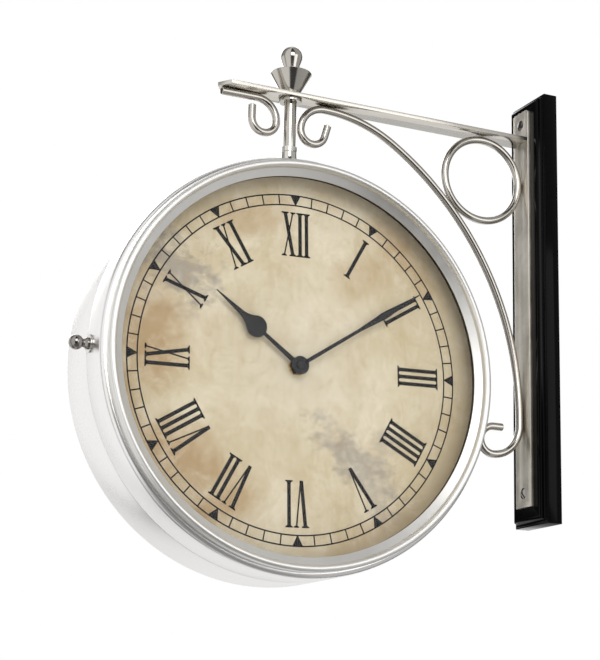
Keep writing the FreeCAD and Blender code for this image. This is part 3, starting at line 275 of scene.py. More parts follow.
def lathe(name, outline, axis="y", offset=(0, 0, 0), steps=TURN_STEPS, soft=0.25):
    """Turn a closed outline of (radius, place along the axis) about the axis."""
    outline = softened(outline, soft) if soft else outline
    vertices, rows = [], []
    for radius, height in outline:
        if abs(radius) < 1e-6:
            rows.append([len(vertices)] * steps)
            vertices.append(Vector(TURN_ABOUT[axis](0, height, 1, 0)) + Vector(offset))
            continue
        rows.append(list(range(len(vertices), len(vertices) + steps)))
        for step in range(steps):
            angle = 2 * math.pi * step / steps
            place = TURN_ABOUT[axis](radius, height, math.cos(angle), math.sin(angle))
            vertices.append(Vector(place) + Vector(offset))
    faces = []
    for row, following in zip(rows, rows[1:] + rows[:1]):
        if row[0] == row[1] and following[0] == following[1]:
            continue
        for step in range(steps):
            after = (step + 1) % steps
            corners = [row[step], row[after], following[after], following[step]]
            faces.append(list(dict.fromkeys(corners)))
    return add_mesh(name, vertices, faces)


def tube(name, route, closed=False, sides=32):
    """Round bar along a route of (x, z) points in the plane of the bracket."""
    points = [Vector((x, 0.0, z)) for x, z in route]
    count = len(points)
    vertices, faces = [], []
    for index, point in enumerate(points):
        before = points[index - 1] if index or closed else point
        after = points[(index + 1) % count] if index < count - 1 or closed else point
        heading = (after - before).normalized()
        across = Vector((heading.z, 0.0, -heading.x))
        for side in range(sides):
            angle = 2 * math.pi * side / sides
            spread = across * math.cos(angle) + Vector((0, 1, 0)) * math.sin(angle)
            vertices.append(point + spread * BAR_RADIUS)
    rings = count if closed else count - 1
    for index in range(rings):
        first, second = index * sides, (index + 1) % count * sides
        for side in range(sides):
            after = (side + 1) % sides
            faces.append([first + side, first + after, second + after, second + side])
    if not closed:
        for end, inward in ((0, points[1] - points[0]), (count - 1, points[-2] - points[-1])):
            outward = -inward.normalized()
            rim = [vertices[end * sides + side] for side in range(sides)]
            ring_start = len(vertices)
            for corner in rim:
                vertices.append(points[end] + (corner - points[end]) * 0.86 + outward * 0.4)
            for side in range(sides):
                after = (side + 1) % sides
                base = end * sides
                faces.append([base + side, base + after, ring_start + after, ring_start + side])
            faces.append([ring_start + side for side in range(sides)])
    return add_mesh(name, vertices, faces)


def slab(name, outlines, back, front, soft=0.0):
    """Flat pieces in the dial's plane: (x, z) outlines from one depth to another."""
    vertices, faces = [], []
    for outline in outlines:
        start, count = len(vertices), len(outline)
        vertices += [Vector((x, back, z)) for x, z in outline]
        vertices += [Vector((x, front, z)) for x, z in outline]
        faces.append(list(range(start, start + count)))
        faces.append(list(range(start + 2 * count - 1, start + count - 1, -1)))
        for corner in range(count):
            after = (corner + 1) % count
            faces.append([start + corner, start + after, start + count + after, start + count + corner])
    piece = add_mesh(name, vertices, faces, smooth=False)
    if soft:
        bevel(piece, soft)
    return piece


def bevel(piece, width, segments=2):
    """Round a piece's hard edges and keep the rounding in its mesh."""
    modifier = piece.modifiers.new("edge", "BEVEL")
    modifier.width = width * MM
    modifier.segments = segments
    modifier.limit_method = "ANGLE"
    modifier.angle_limit = math.radians(30)
    modifier.use_clamp_overlap = True
    settle(piece)
    for polygon in piece.data.polygons:
        polygon.use_smooth = True
    piece.data.set_sharp_from_angle(angle=math.radians(50))


def settle(piece):
    """Make a piece's modifiers part of its mesh."""
    bpy.context.view_layer.update()
    graph = bpy.context.evaluated_depsgraph_get()
    mesh = bpy.data.meshes.new_from_object(piece.evaluated_get(graph))
    piece.modifiers.clear()
    piece.data = mesh


def eased_copy(node, width):
    """A copy of a flat CAD piece with its hard edges eased, to stand for the node."""
    source = frame["nodes"][node]
    mesh = source.data.copy()
    build = bmesh.new()
    build.from_mesh(mesh)
    bmesh.ops.remove_doubles(build, verts=build.verts, dist=1e-6)
    bmesh.ops.dissolve_limit(build, angle_limit=math.radians(1), verts=build.verts, edges=build.edges)
    build.to_mesh(mesh)
    build.free()
    piece = bpy.data.objects.new(node + "_eased", mesh)
    piece.data.materials.clear()
    bpy.context.scene.collection.objects.link(piece)
    bevel(piece, width)
    return piece


# Materials

class Shader:
    """A material's node tree, built up a node at a time."""

    def __init__(self, name):
        self.material = bpy.data.materials.new(name)
        self.material.use_nodes = True
        self.tree = self.material.node_tree
        self.surface = self.tree.nodes["Principled BSDF"]

    def node(self, kind, settings=None, **inputs):
        node = self.tree.nodes.new(kind)
        for key, value in (settings or {}).items():
            setattr(node, key, value)
        for key, value in inputs.items():
            self.feed(node.inputs[key.replace("_", " ")], value)
        return node

    def feed(self, socket, value):
        if isinstance(value, bpy.types.NodeSocket):
            self.tree.links.new(value, socket)
        else:
            socket.default_value = value

    def put(self, **inputs):
        for key, value in inputs.items():
            self.feed(self.surface.inputs[key.replace("_", " ")], value)

    def place(self, scale=(1, 1, 1), centre=(0, 0, 0)):
        """Object coordinates in metres from a point, stretched by the scale."""
        coordinates = self.node("ShaderNodeTexCoord").outputs["Object"]
        away = self.node("ShaderNodeVectorMath", {"operation": "SUBTRACT"})
        self.feed(away.inputs[0], coordinates)
        self.feed(away.inputs[1], centre)
        stretched = self.node("ShaderNodeVectorMath", {"operation": "MULTIPLY"})
        self.feed(stretched.inputs[0], away.outputs[0])
        self.feed(stretched.inputs[1], scale)
        return stretched.outputs[0]

    def noise(self, scale, detail=4.0, roughness=0.55, stretch=(1, 1, 1), distortion=0.0):
        node = self.node("ShaderNodeTexNoise", Vector=self.place(stretch), Scale=scale, Detail=detail,
                         Roughness=roughness, Distortion=distortion)
        return node.outputs["Fac"]

    def between(self, value, low, high, from_low=0.0, from_high=1.0):
        node = self.node("ShaderNodeMapRange", Value=value)
        node.inputs["From Min"].default_value = from_low
        node.inputs["From Max"].default_value = from_high
        node.inputs["To Min"].default_value = low
        node.inputs["To Max"].default_value = high
        return node.outputs["Result"]

    def mix(self, share, first, second):
        node = self.node("ShaderNodeMix", {"data_type": "RGBA"})
        self.feed(node.inputs["Factor"], share)
        self.feed(node.inputs[6], first)
        self.feed(node.inputs[7], second)
        return node.outputs[2]

    def bump(self, height, strength, distance=0.0002):
        node = self.node("ShaderNodeBump", Strength=strength, Distance=distance, Height=height)
        self.put(Normal=node.outputs["Normal"])


def linear(red, green, blue):
    """A colour as it is seen, 0 to 255, as the renderer's own values."""
    def one(part):
        part /= 255
        return part / 12.92 if part <= 0.04045 else ((part + 0.055) / 1.055) ** 2.4
    return (one(red), one(green), one(blue), 1.0)


def polished_nickel():
    shader = Shader("polished_nickel")
    haze = shader.noise(28, 5, 0.6)
    smear = shader.noise(9, 3, 0.5, (1, 1, 2.5))
    tone = shader.mix(haze, linear(208, 204, 197), linear(226, 224, 219))
    shader.put(Base_Color=tone, Metallic=1.0, Roughness=shader.between(smear, 0.05, 0.12, 0.35, 0.7))
    shader.bump(shader.noise(60, 2, 0.5), 0.02, 0.0004)
    return shader.material


def bar_nickel():
    """Round bar and turned fittings: shiny, with the greyish cast of thin plating over steel."""
    shader = Shader("bar_nickel")
    cast = shader.noise(34, 5, 0.6)
    tone = shader.mix(cast, linear(172, 167, 159), linear(204, 200, 193))
    shader.put(Base_Color=tone, Metallic=1.0, Roughness=shader.between(cast, 0.08, 0.16, 0.3, 0.7))
    shader.bump(shader.noise(300, 3, 0.5), 0.04, 0.0001)
    return shader.material


def print_ink():
    """Black printing on paper, a little broken where the paper's fibres show."""
    shader = Shader("print_ink")
    broken = shader.noise(700, 4, 0.7)
    shader.put(Base_Color=shader.mix(broken, linear(14, 13, 13), linear(34, 31, 29)),
               Roughness=shader.between(broken, 0.6, 0.8))
    shader.surface.inputs["Specular IOR Level"].default_value = 0.1
    return shader.material


def brushed_nickel():
    """Plated ring with the faint turning marks of its polishing, a little dulled."""
    shader = Shader("brushed_nickel")
    haze = shader.noise(24, 5, 0.6)
    tone = shader.mix(haze, linear(226, 224, 219), linear(242, 241, 238))
    shader.put(Base_Color=tone, Metallic=1.0, Roughness=shader.between(haze, 0.36, 0.46, 0.3, 0.7))
    shader.bump(shader.noise(520, 2, 0.5), 0.04, 0.0001)
    return shader.material


def shell_nickel():
    """Large plated wall: fine brushing round the drum and cloudy patches of dulled shine."""
    shader = Shader("shell_nickel")
    cloud = shader.noise(12, 5, 0.62)
    grain = shader.noise(160, 4, 0.65, (1, 6, 1))
    tone = shader.mix(cloud, linear(236, 234, 231), linear(248, 247, 246))
    marked = shader.mix(shader.between(grain, 0.0, 0.3, 0.55, 0.75), tone, linear(212, 209, 205))
    shader.put(Base_Color=marked, Metallic=1.0, Roughness=shader.between(cloud, 0.24, 0.34, 0.3, 0.7))
    shader.bump(grain, 0.05, 0.0002)
    return shader.material


def dark_chrome():
    """Small turned knob, polished and darkened all over, with a fine mottle of tarnish."""
    shader = Shader("dark_chrome")
    tarnish = shader.noise(240, 4, 0.6)
    tone = shader.mix(tarnish, linear(128, 124, 120), linear(168, 164, 160))
    shader.put(Base_Color=tone, Metallic=1.0, Roughness=shader.between(tarnish, 0.06, 0.14))
    shader.bump(tarnish, 0.03, 0.0001)
    return shader.material


def strap_nickel():
    """Flat strip with a dull, slightly spotted plating."""
    shader = Shader("strap_nickel")
    grain = shader.noise(380, 3, 0.6, (1, 1, 0.08))
    spots = shader.noise(40, 5, 0.65)
    tone = shader.mix(shader.between(spots, 0, 1, 0.35, 0.65), linear(202, 196, 183), linear(228, 222, 211))
    shader.put(Base_Color=tone, Metallic=1.0, Roughness=shader.between(spots, 0.34, 0.46, 0.3, 0.7))
    shader.bump(grain, 0.08, 0.0001)
    return shader.material


def satin_nickel():
    shader = Shader("satin_nickel")
    grain = shader.noise(420, 3, 0.6, (1, 1, 0.06))
    patches = shader.noise(14, 4, 0.6)
    tone = shader.mix(patches, linear(196, 190, 180), linear(222, 218, 210))
    shader.put(Base_Color=tone, Metallic=1.0, Roughness=shader.between(patches, 0.16, 0.28, 0.3, 0.7))
    shader.bump(grain, 0.06, 0.0001)
    return shader.material


def zinc_plate():
    shader = Shader("zinc_plate")
    spangle = shader.node("ShaderNodeTexVoronoi", Vector=shader.place(), Scale=260.0).outputs["Distance"]
    tone = shader.mix(spangle, linear(168, 170, 172), linear(192, 193, 192))
    shader.put(Base_Color=tone, Metallic=1.0, Roughness=shader.between(spangle, 0.28, 0.42))
    shader.bump(shader.noise(500, 2), 0.05, 0.0001)
    return shader.material


def black_gloss():
    shader = Shader("black_gloss")
    ripple = shader.noise(90, 2, 0.4, (1, 1, 0.35))
    dust = shader.noise(700, 3, 0.7)
    tone = shader.mix(shader.between(dust, 0.0, 1.0, 0.55, 0.8), linear(2, 2, 2), linear(9, 9, 9))
    shader.put(Base_Color=tone, Roughness=shader.between(ripple, 0.08, 0.14, 0.3, 0.7))
    shader.surface.inputs["Specular IOR Level"].default_value = 0.08
    shader.bump(ripple, 0.01, 0.0003)
    return shader.material


def hand_black():
    shader = Shader("hand_black")
    speck = shader.noise(900, 3, 0.6)
    tone = shader.mix(speck, linear(16, 16, 18), linear(28, 28, 31))
    shader.put(Base_Color=tone, Roughness=shader.between(speck, 0.34, 0.5))
    shader.surface.inputs["Specular IOR Level"].default_value = 0.25
    shader.bump(speck, 0.08, 0.00005)
    return shader.material


def brass():
    shader = Shader("brass")
    wear = shader.noise(220, 4, 0.6)
    tone = shader.mix(wear, linear(196, 160, 92), linear(226, 196, 132))
    shader.put(Base_Color=tone, Metallic=1.0, Roughness=shader.between(wear, 0.2, 0.36))
    shader.bump(wear, 0.04, 0.0001)
    return shader.material


def clear_glass():
    """Thin clear glass: almost all light passes straight on, and a little is mirrored."""
    shader = Shader("clear_glass")
    faint = shader.noise(30, 2)
    # The grey base colour is a painted reflection: a faint even veil over what is seen through the glass.
    shader.put(Base_Color=(0.1, 0.1, 0.1, 1), Roughness=shader.between(faint, 0.0, 0.02))
    shader.surface.inputs["IOR"].default_value = 1.7
    shader.surface.inputs["Alpha"].default_value = 0.07
    return shader.material


def plain_material(name, dark, light, rough_low, rough_high, scale=300, depth=0.06):
    shader = Shader(name)
    grain = shader.noise(scale, 3, 0.6)
    shader.put(Base_Color=shader.mix(grain, dark, light),
               Roughness=shader.between(grain, rough_low, rough_high))
    shader.bump(grain, depth, 0.0001)
    return shader.material


# Stains of the dial: (x, z, half width, half height, tilt in degrees, strength), in millimetres.
GREY_STAINS = [
    (-96, 62, 34, 20, -32, 0.7),
    (50, -66, 40, 15, -38, 0.62),
    (74, -48, 18, 10, 20, 0.4),
    (62, -88, 20, 8, -70, 0.45),
]
RUST_STAINS = [
    (-112, 12, 26, 40, 8, 0.85),
    (-86, -74, 42, 24, -35, 0.85),
    (-70, -112, 40, 12, 32, 0.8),
    (-56, -104, 34, 16, 20, 0.7),
    (84, 96, 34, 12, -42, 0.7),
    (48, 74, 26, 18, 10, 0.4),
    (-38, 106, 38, 15, 12, 0.45),
    (60, -118, 36, 12, 28, 0.4),
    (-128, -36, 12, 30, 12, 0.6),
]


def stain_share(shader, stains, roughened, side):
    """How much of a stain there is at a point: soft ellipses with ragged edges, added up."""
    total = None
    for x, z, half_width, half_height, tilt, strength in stains:
        centre = CENTRE + Vector((x * side, 0, z)) * MM
        away = shader.place(centre=centre[:])
        turn = shader.node("ShaderNodeVectorRotate", {"rotation_type": "Y_AXIS"}, Vector=away)
        turn.inputs["Angle"].default_value = math.radians(tilt * side)
        scaled = shader.node("ShaderNodeVectorMath", {"operation": "MULTIPLY"})
        shader.feed(scaled.inputs[0], turn.outputs[0])
        scaled.inputs[1].default_value = (1 / (half_width * MM), 0, 1 / (half_height * MM))
        length = shader.node("ShaderNodeVectorMath", {"operation": "LENGTH"})
        shader.feed(length.inputs[0], scaled.outputs[0])
        ragged = shader.node("ShaderNodeMath", {"operation": "ADD"})
        shader.feed(ragged.inputs[0], length.outputs["Value"])
        shader.feed(ragged.inputs[1], roughened)
        soft = shader.between(ragged.outputs[0], strength, 0.0, 0.35, 1.25)
        if total is None:
            total = soft
            continue
        joined = shader.node("ShaderNodeMath", {"operation": "MAXIMUM"})
        shader.feed(joined.inputs[0], total)
        shader.feed(joined.inputs[1], soft)
        total = joined.outputs[0]
    return total


def dial_paper(name, side):
    """Aged paper: cream with a mottle, with rust and grey stains, painted light towards its middle and
    painted shade at its edge.
    """
    shader = Shader(name)
    mottle = shader.noise(13, 9, 0.68, distortion=0.8)
    blotch = shader.noise(30, 8, 0.68, distortion=0.6)
    fibre = shader.noise(260, 4, 0.7, (1, 1, 2.2))
    away = shader.place(centre=CENTRE[:])
    flat = shader.node("ShaderNodeVectorMath", {"operation": "MULTIPLY"})
    shader.feed(flat.inputs[0], away)
    flat.inputs[1].default_value = (1000, 0, 1000)
    length = shader.node("ShaderNodeVectorMath", {"operation": "LENGTH"})
    shader.feed(length.inputs[0], flat.outputs[0])
    radius = length.outputs["Value"]
    cream = shader.mix(shader.between(mottle, 0, 1, 0.36, 0.64),
                       linear(208, 192, 154), linear(238, 228, 202))
    # Painted light: the paper is mixed lighter towards the dial's middle, as a soft pool of light.
    middle = shader.mix(shader.between(radius, 0.6, 0.0, 10, 84), cream, linear(232, 223, 200))
    # Painted shade: the paper is mixed darker and browner towards its rim, where the bezel shades the dial.
    edge = shader.mix(shader.between(radius, 0.0, 0.3, 96, 146), middle, linear(200, 180, 148))
    spotted = shader.mix(shader.between(blotch, 0.0, 0.5, 0.48, 0.7), edge, linear(200, 176, 138))
    ragged = shader.between(shader.noise(34, 5, 0.65), -0.55, 0.55, 0.25, 0.75)
    rust = stain_share(shader, RUST_STAINS, ragged, side)
    warmed = shader.mix(rust, spotted, linear(180, 146, 98))
    streaks = shader.between(shader.noise(70, 6, 0.7, (1, 1, 1.6)), -0.75, 0.75, 0.33, 0.67)
    grey = stain_share(shader, GREY_STAINS, streaks, side)
    dirtied = shader.mix(grey, warmed, linear(146, 139, 134))
    crumple = shader.noise(75, 9, 0.78, (1, 1, 0.7), distortion=1.6)
    worn = shader.mix(shader.between(crumple, 0.0, 0.45, 0.5, 0.72), dirtied, linear(178, 156, 114))
    rubbed = shader.mix(shader.between(crumple, 0.45, 0.0, 0.3, 0.48), worn, linear(238, 229, 208))
    toned = shader.mix(shader.between(fibre, 0.0, 0.24), rubbed, linear(160, 142, 112))
    shader.put(Base_Color=toned, Roughness=shader.between(fibre, 0.55, 0.75))
    shader.surface.inputs["Specular IOR Level"].default_value = 0.25
    shader.bump(fibre, 0.08, 0.0001)
    return shader.material


MATERIALS = {
    "polished_nickel": polished_nickel(),
    "satin_nickel": satin_nickel(),
    "bar_nickel": bar_nickel(),
    "print_ink": print_ink(),
    "brushed_nickel": brushed_nickel(),
    "strap_nickel": strap_nickel(),
    "shell_nickel": shell_nickel(),
    "dark_chrome": dark_chrome(),
    "zinc_plate": zinc_plate(),
    "black_gloss": black_gloss(),
    "hand_black": hand_black(),
    "brass": brass(),
    "clear_glass": clear_glass(),
}
# (name, darkest and lightest colour, lowest and highest roughness, scale of the grain, its depth)
for plain in (
    ("black_rubber", (22, 22, 22), (34, 34, 34), 0.6, 0.8, 300, 0.06),
    ("black_plastic", (20, 20, 21), (30, 30, 31), 0.42, 0.6, 700, 0.15),
    ("white_plastic", (222, 221, 216), (234, 233, 229), 0.35, 0.5, 300, 0.06),
    ("dial_card", (186, 181, 171), (206, 202, 193), 0.6, 0.8, 180, 0.06),
    ("battery_sleeve", (28, 30, 34), (40, 42, 46), 0.2, 0.3, 80, 0.06),
):
    name, dark, light, *rest = plain
    MATERIALS[name] = plain_material(name, linear(*dark), linear(*light), *rest)
DIAL_MATERIALS = {
    "front": dial_paper("front_dial_paper", 1),
    "rear": dial_paper("rear_dial_paper", -1),
}
NODE_SLOTS = {part["node"]: part["material_slot"] for part in frame["record"]["subparts"]}


def dress_nodes():
    """Give every CAD node the material of its slot."""
    for name, node in frame["nodes"].items():
        slot = NODE_SLOTS[name]
        material = DIAL_MATERIALS[name.split("_")[0]] if slot == "dial_paper" else MATERIALS[slot]
        node.data.materials.clear()
        node.data.materials.append(material)
        for polygon in node.data.polygons:
            polygon.use_smooth = True
        node.data.set_sharp_from_angle(angle=SMOOTH_ANGLE)


def fit(piece, body, node=None, slot=None, material=None):
    """Give a piece its finish, let it ride on its body and stand for its CAD node."""
    slot = slot or NODE_SLOTS[node]
    piece.data.materials.clear()
    piece.data.materials.append(material or MATERIALS[slot])
    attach(piece, body)
    if node:
        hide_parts(node)
    return piece


BODY_OF = {"front": "cover", "rear": "case"}


def face_about(piece, side):
    """Pieces drawn for the front dial are turned half round for the rear one."""
    if side == "rear":
        turn = Matrix.Translation(CENTRE) @ Matrix.Rotation(math.pi, 4, "Z") @ Matrix.Translation(-CENTRE)
        piece.data.transform(turn)
    return piece


# Drum

def shells():
    """The drum's two halves, with a fine gap where they meet."""
    bend = -CASE_REACH + CASE_CORNER
    flat = CASE_RADIUS - CASE_CORNER
    for side, seam, body in (("front", SEAM, "cover"), ("rear", -SEAM, "case")):
        outer = arc(flat, bend, CASE_CORNER, 0, -90, 12)
        inner = arc(flat, bend, CASE_CORNER - CASE_WALL, -90, 0, 8)
        outline = [(CASE_RADIUS, seam - SEAM_GAP)] + outer + [(LIP_RADIUS, -CASE_REACH)]
        outline += [(LIP_RADIUS, -CASE_REACH + CASE_WALL)] + inner
        outline += [(CASE_RADIUS - CASE_WALL, seam - SEAM_GAP)]
        piece = face_about(lathe(side + "_shell_skin", outline, soft=0.3), side)
        fit(piece, body, side + "_shell", material=MATERIALS["shell_nickel"])


def bezel(side):
    """The ring over the glass: a round bead outside and a low slope inside."""
    back = -CASE_REACH
    outer = CASE_RADIUS - CASE_CORNER
    bead_x = outer - BEAD_RADIUS
    bead_y = back - BEZEL_HEIGHT + BEAD_RADIUS
    crease = bead_x - BEAD_RADIUS
    outline = [(BEZEL_BORE, back), (outer, back)]
    outline += arc(bead_x, bead_y, BEAD_RADIUS, 0, -180, 20)
    outline += [(crease, back - BEZEL_CREASE), (BEZEL_BORE, back - BEZEL_EDGE)]
    ring = face_about(lathe(side + "_bezel_ring", outline, soft=0.35), side)
    fit(ring, BODY_OF[side], side + "_bezel", material=MATERIALS["brushed_nickel"])


def glass(side):
    back = GLASS_FRONT + GLASS_THICK
    outline = [(0, GLASS_FRONT), (GLASS_RADIUS, GLASS_FRONT), (GLASS_RADIUS, back), (0, back)]
    fit(face_about(lathe(side + "_glass_pane", outline, soft=0.2), side), BODY_OF[side], side + "_glass")


# Dial print

def around(points, angle):
    """Turn (x, z) points clockwise on the dial, from twelve to an angle in degrees."""
    turn = math.radians(angle)
    cosine, sine = math.cos(turn), math.sin(turn)
    return [(x * cosine + z * sine, z * cosine - x * sine) for x, z in points]


def stroke(x_foot, x_top, width, foot=NUMERAL_FOOT, top=NUMERAL_TOP):
    half = width / 2
    return [(x_foot - half, foot), (x_foot + half, foot), (x_top + half, top), (x_top - half, top)]


def serif(x, width, at_top):
    """A thin slab across a stroke's end, with a small bracket under it."""
    reach = width / 2 + SERIF_REACH
    half = width / 2
    edge, inward = (NUMERAL_TOP, -1) if at_top else (NUMERAL_FOOT, 1)
    bracket = edge + inward * (SERIF_THICK + SERIF_BRACKET)
    slab_edge = edge + inward * SERIF_THICK
    return [(x - reach, edge), (x + reach, edge), (x + reach, slab_edge), (x + half, bracket),
            (x - half, bracket), (x - reach, slab_edge)]


def letter_i(left):
    x = left + STROKE_PITCH / 2
    return [stroke(x, x, STROKE), serif(x, STROKE, True), serif(x, STROKE, False)], STROKE_PITCH


def letter_v(left):
    thick_x = left + STROKE / 2 + SERIF_REACH
    thin_x = left + V_WIDTH - THIN_STROKE / 2 - SERIF_REACH
    foot_x = left + V_WIDTH * 0.5
    shapes = [
        stroke(foot_x, thick_x, STROKE),
        stroke(foot_x + 0.5, thin_x, THIN_STROKE),
        serif(thick_x, STROKE, True),
        serif(thin_x, THIN_STROKE, True),
    ]
    return shapes, V_WIDTH + LETTER_GAP


def letter_x(left):
    thick_top = left + STROKE / 2 + SERIF_REACH
    thick_foot = left + X_WIDTH - STROKE / 2 - SERIF_REACH / 2
    thin_top = left + X_WIDTH - THIN_STROKE / 2 - SERIF_REACH
    thin_foot = left + THIN_STROKE / 2 + SERIF_REACH
    shapes = [
        stroke(thick_foot, thick_top, STROKE),
        stroke(thin_foot, thin_top, THIN_STROKE),
        serif(thick_top, STROKE, True),
        serif(thick_foot, STROKE, False),
        serif(thin_top, THIN_STROKE, True),
        serif(thin_foot, THIN_STROKE, False),
    ]
    return shapes, X_WIDTH + LETTER_GAP


LETTERS = {"I": letter_i, "V": letter_v, "X": letter_x}
HOURS = ["XII", "I", "II", "III", "IIII", "V", "VI", "VII", "VIII", "IX", "X", "XI"]


def numerals(side):
    """Roman numerals, each with its foot towards the dial's middle."""
    outlines = []
    for hour, word in enumerate(HOURS):
        shapes, left = [], 0.0
        for letter in word:
            drawn, width = LETTERS[letter](left)
            shapes += drawn
            left += width
        middle = left / 2
        for shape in shapes:
            outlines.append(around([(x - middle, z) for x, z in shape], 30 * hour + PRINT_TURN))
    face = -DIAL_REACH
    piece = slab(side + "_numerals", outlines, face - PRINT_FOOT, face - PRINT_LIFT)
    fit(face_about(piece, side), BODY_OF[side], slot="hand_black", material=MATERIALS["print_ink"])


def band_outline(radius, width, steps=180):
    """A printed circle as a strip of four cornered pieces."""
    inner, outer = radius - width / 2, radius + width / 2
    pieces = []
    for step in range(steps):
        first, last = 2 * math.pi * step / steps, 2 * math.pi * (step + 1) / steps
        pieces.append([
            (inner * math.sin(first), inner * math.cos(first)),
            (outer * math.sin(first), outer * math.cos(first)),
            (outer * math.sin(last), outer * math.cos(last)),
            (inner * math.sin(last), inner * math.cos(last)),
        ])
    return pieces


def minute_track(side):
    """Two printed circles with a tick for each minute and a wedge for each hour."""
    outlines = band_outline(TRACK_OUTER, TRACK_LINE) + band_outline(TRACK_INNER, TRACK_LINE)
    for minute in range(60):
        if minute % 5 == 0:
            mark = [(-MARK_HALF, TRACK_OUTER), (MARK_HALF, TRACK_OUTER),
                    (MARK_POINT, TRACK_INNER), (-MARK_POINT, TRACK_INNER)]
        else:
            mark = stroke(0, 0, TICK_LINE, TRACK_INNER, TRACK_OUTER)
        outlines.append(around(mark, 6 * minute + PRINT_TURN))
    face = -DIAL_REACH
    piece = slab(side + "_minute_track", outlines, face - PRINT_FOOT, face - PRINT_LIFT)
    fit(face_about(piece, side), BODY_OF[side], slot="hand_black", material=MATERIALS["print_ink"])


def dial_disc(side):
    """The dial: printed paper in front and plain card behind."""
    face = -DIAL_REACH
    back = face + DIAL_THICK
    outline = [(BUSH_HOLE, face), (DIAL_RADIUS, face), (DIAL_RADIUS, back), (BUSH_HOLE, back)]
    piece = face_about(lathe(side + "_dial_disc", outline, soft=0.1), side)
    fit(piece, BODY_OF[side], side + "_dial", material=DIAL_MATERIALS[side])
    piece.data.materials.append(MATERIALS["dial_card"])
    inward = 1 if side == "front" else -1
    for polygon in piece.data.polygons:
        if polygon.normal.y * inward > 0.5:
            polygon.material_index = 1


# Hands

def ring_points(radius, steps=48):
    return [(radius * math.sin(2 * math.pi * step / steps), radius * math.cos(2 * math.pi * step / steps))
            for step in range(steps)]


def hour_outline():
    """A stem, a round bulb and a point with hollow flanks."""
    shoulder = math.radians(HOUR_SHOULDER)
    hollow_x = (HOUR_BULB_RADIUS + HOUR_HOLLOW) * math.cos(shoulder)
    hollow_z = HOUR_BULB + (HOUR_BULB_RADIUS + HOUR_HOLLOW) * math.sin(shoulder)
    foot = math.degrees(math.acos(HOUR_NECK / HOUR_BULB_RADIUS))
    right = [(HOUR_STEM, HAND_ROOT)]
    right += arc(0, HOUR_BULB, HOUR_BULB_RADIUS, -foot, HOUR_SHOULDER, 20)
    right += arc(hollow_x, hollow_z, HOUR_HOLLOW, 180 + HOUR_SHOULDER, 180, 12)[1:]
    right += [(HAND_TIP, HOUR_LENGTH)]
    return right + [(-x, z) for x, z in reversed(right)]


def minute_outline():
    """A narrowing stem that widens into a long slim leaf."""
    right = [(MINUTE_STEM, HAND_ROOT), (MINUTE_NECK, MINUTE_NECK_AT), (MINUTE_WIDE, MINUTE_WIDE_AT),
             (HAND_TIP, MINUTE_LENGTH)]
    return right + [(-x, z) for x, z in reversed(right)]


def hand(side, kind, outline, hub, face, thick, angle):
    front = -DIAL_REACH - face
    blade = around(outline, angle)
    piece = slab("%s_%s_blade" % (side, kind), [blade, ring_points(hub)], front + thick, front, soft=0.14)
    fit(face_about(piece, side), "%s_%s" % (side, kind), "%s_%s_hand" % (side, kind))


def hands(side):
    hand(side, "hour", hour_outline(), HOUR_HUB, HOUR_FACE, HOUR_THICK, HOUR_ANGLE)
    hand(side, "minute", minute_outline(), MINUTE_HUB, MINUTE_FACE, MINUTE_THICK, MINUTE_ANGLE)
    back = -DIAL_REACH - MINUTE_FACE
    front = back - CAP_THICK
    outline = [(0, front + 0.35), (CAP_RADIUS - 1.5, front + 0.3), (CAP_RADIUS - 1.1, front),
               (CAP_RADIUS - 0.5, front), (CAP_RADIUS, front + 0.7), (CAP_RADIUS, back), (CAP_PEG, back),
               (CAP_PEG, back - CAP_PEG_DEPTH), (0, back - CAP_PEG_DEPTH)]
    piece = face_about(lathe(side + "_hand_button", outline, soft=0.15, steps=64), side)
    fit(piece, side + "_minute", side + "_hand_cap")


# Hanger

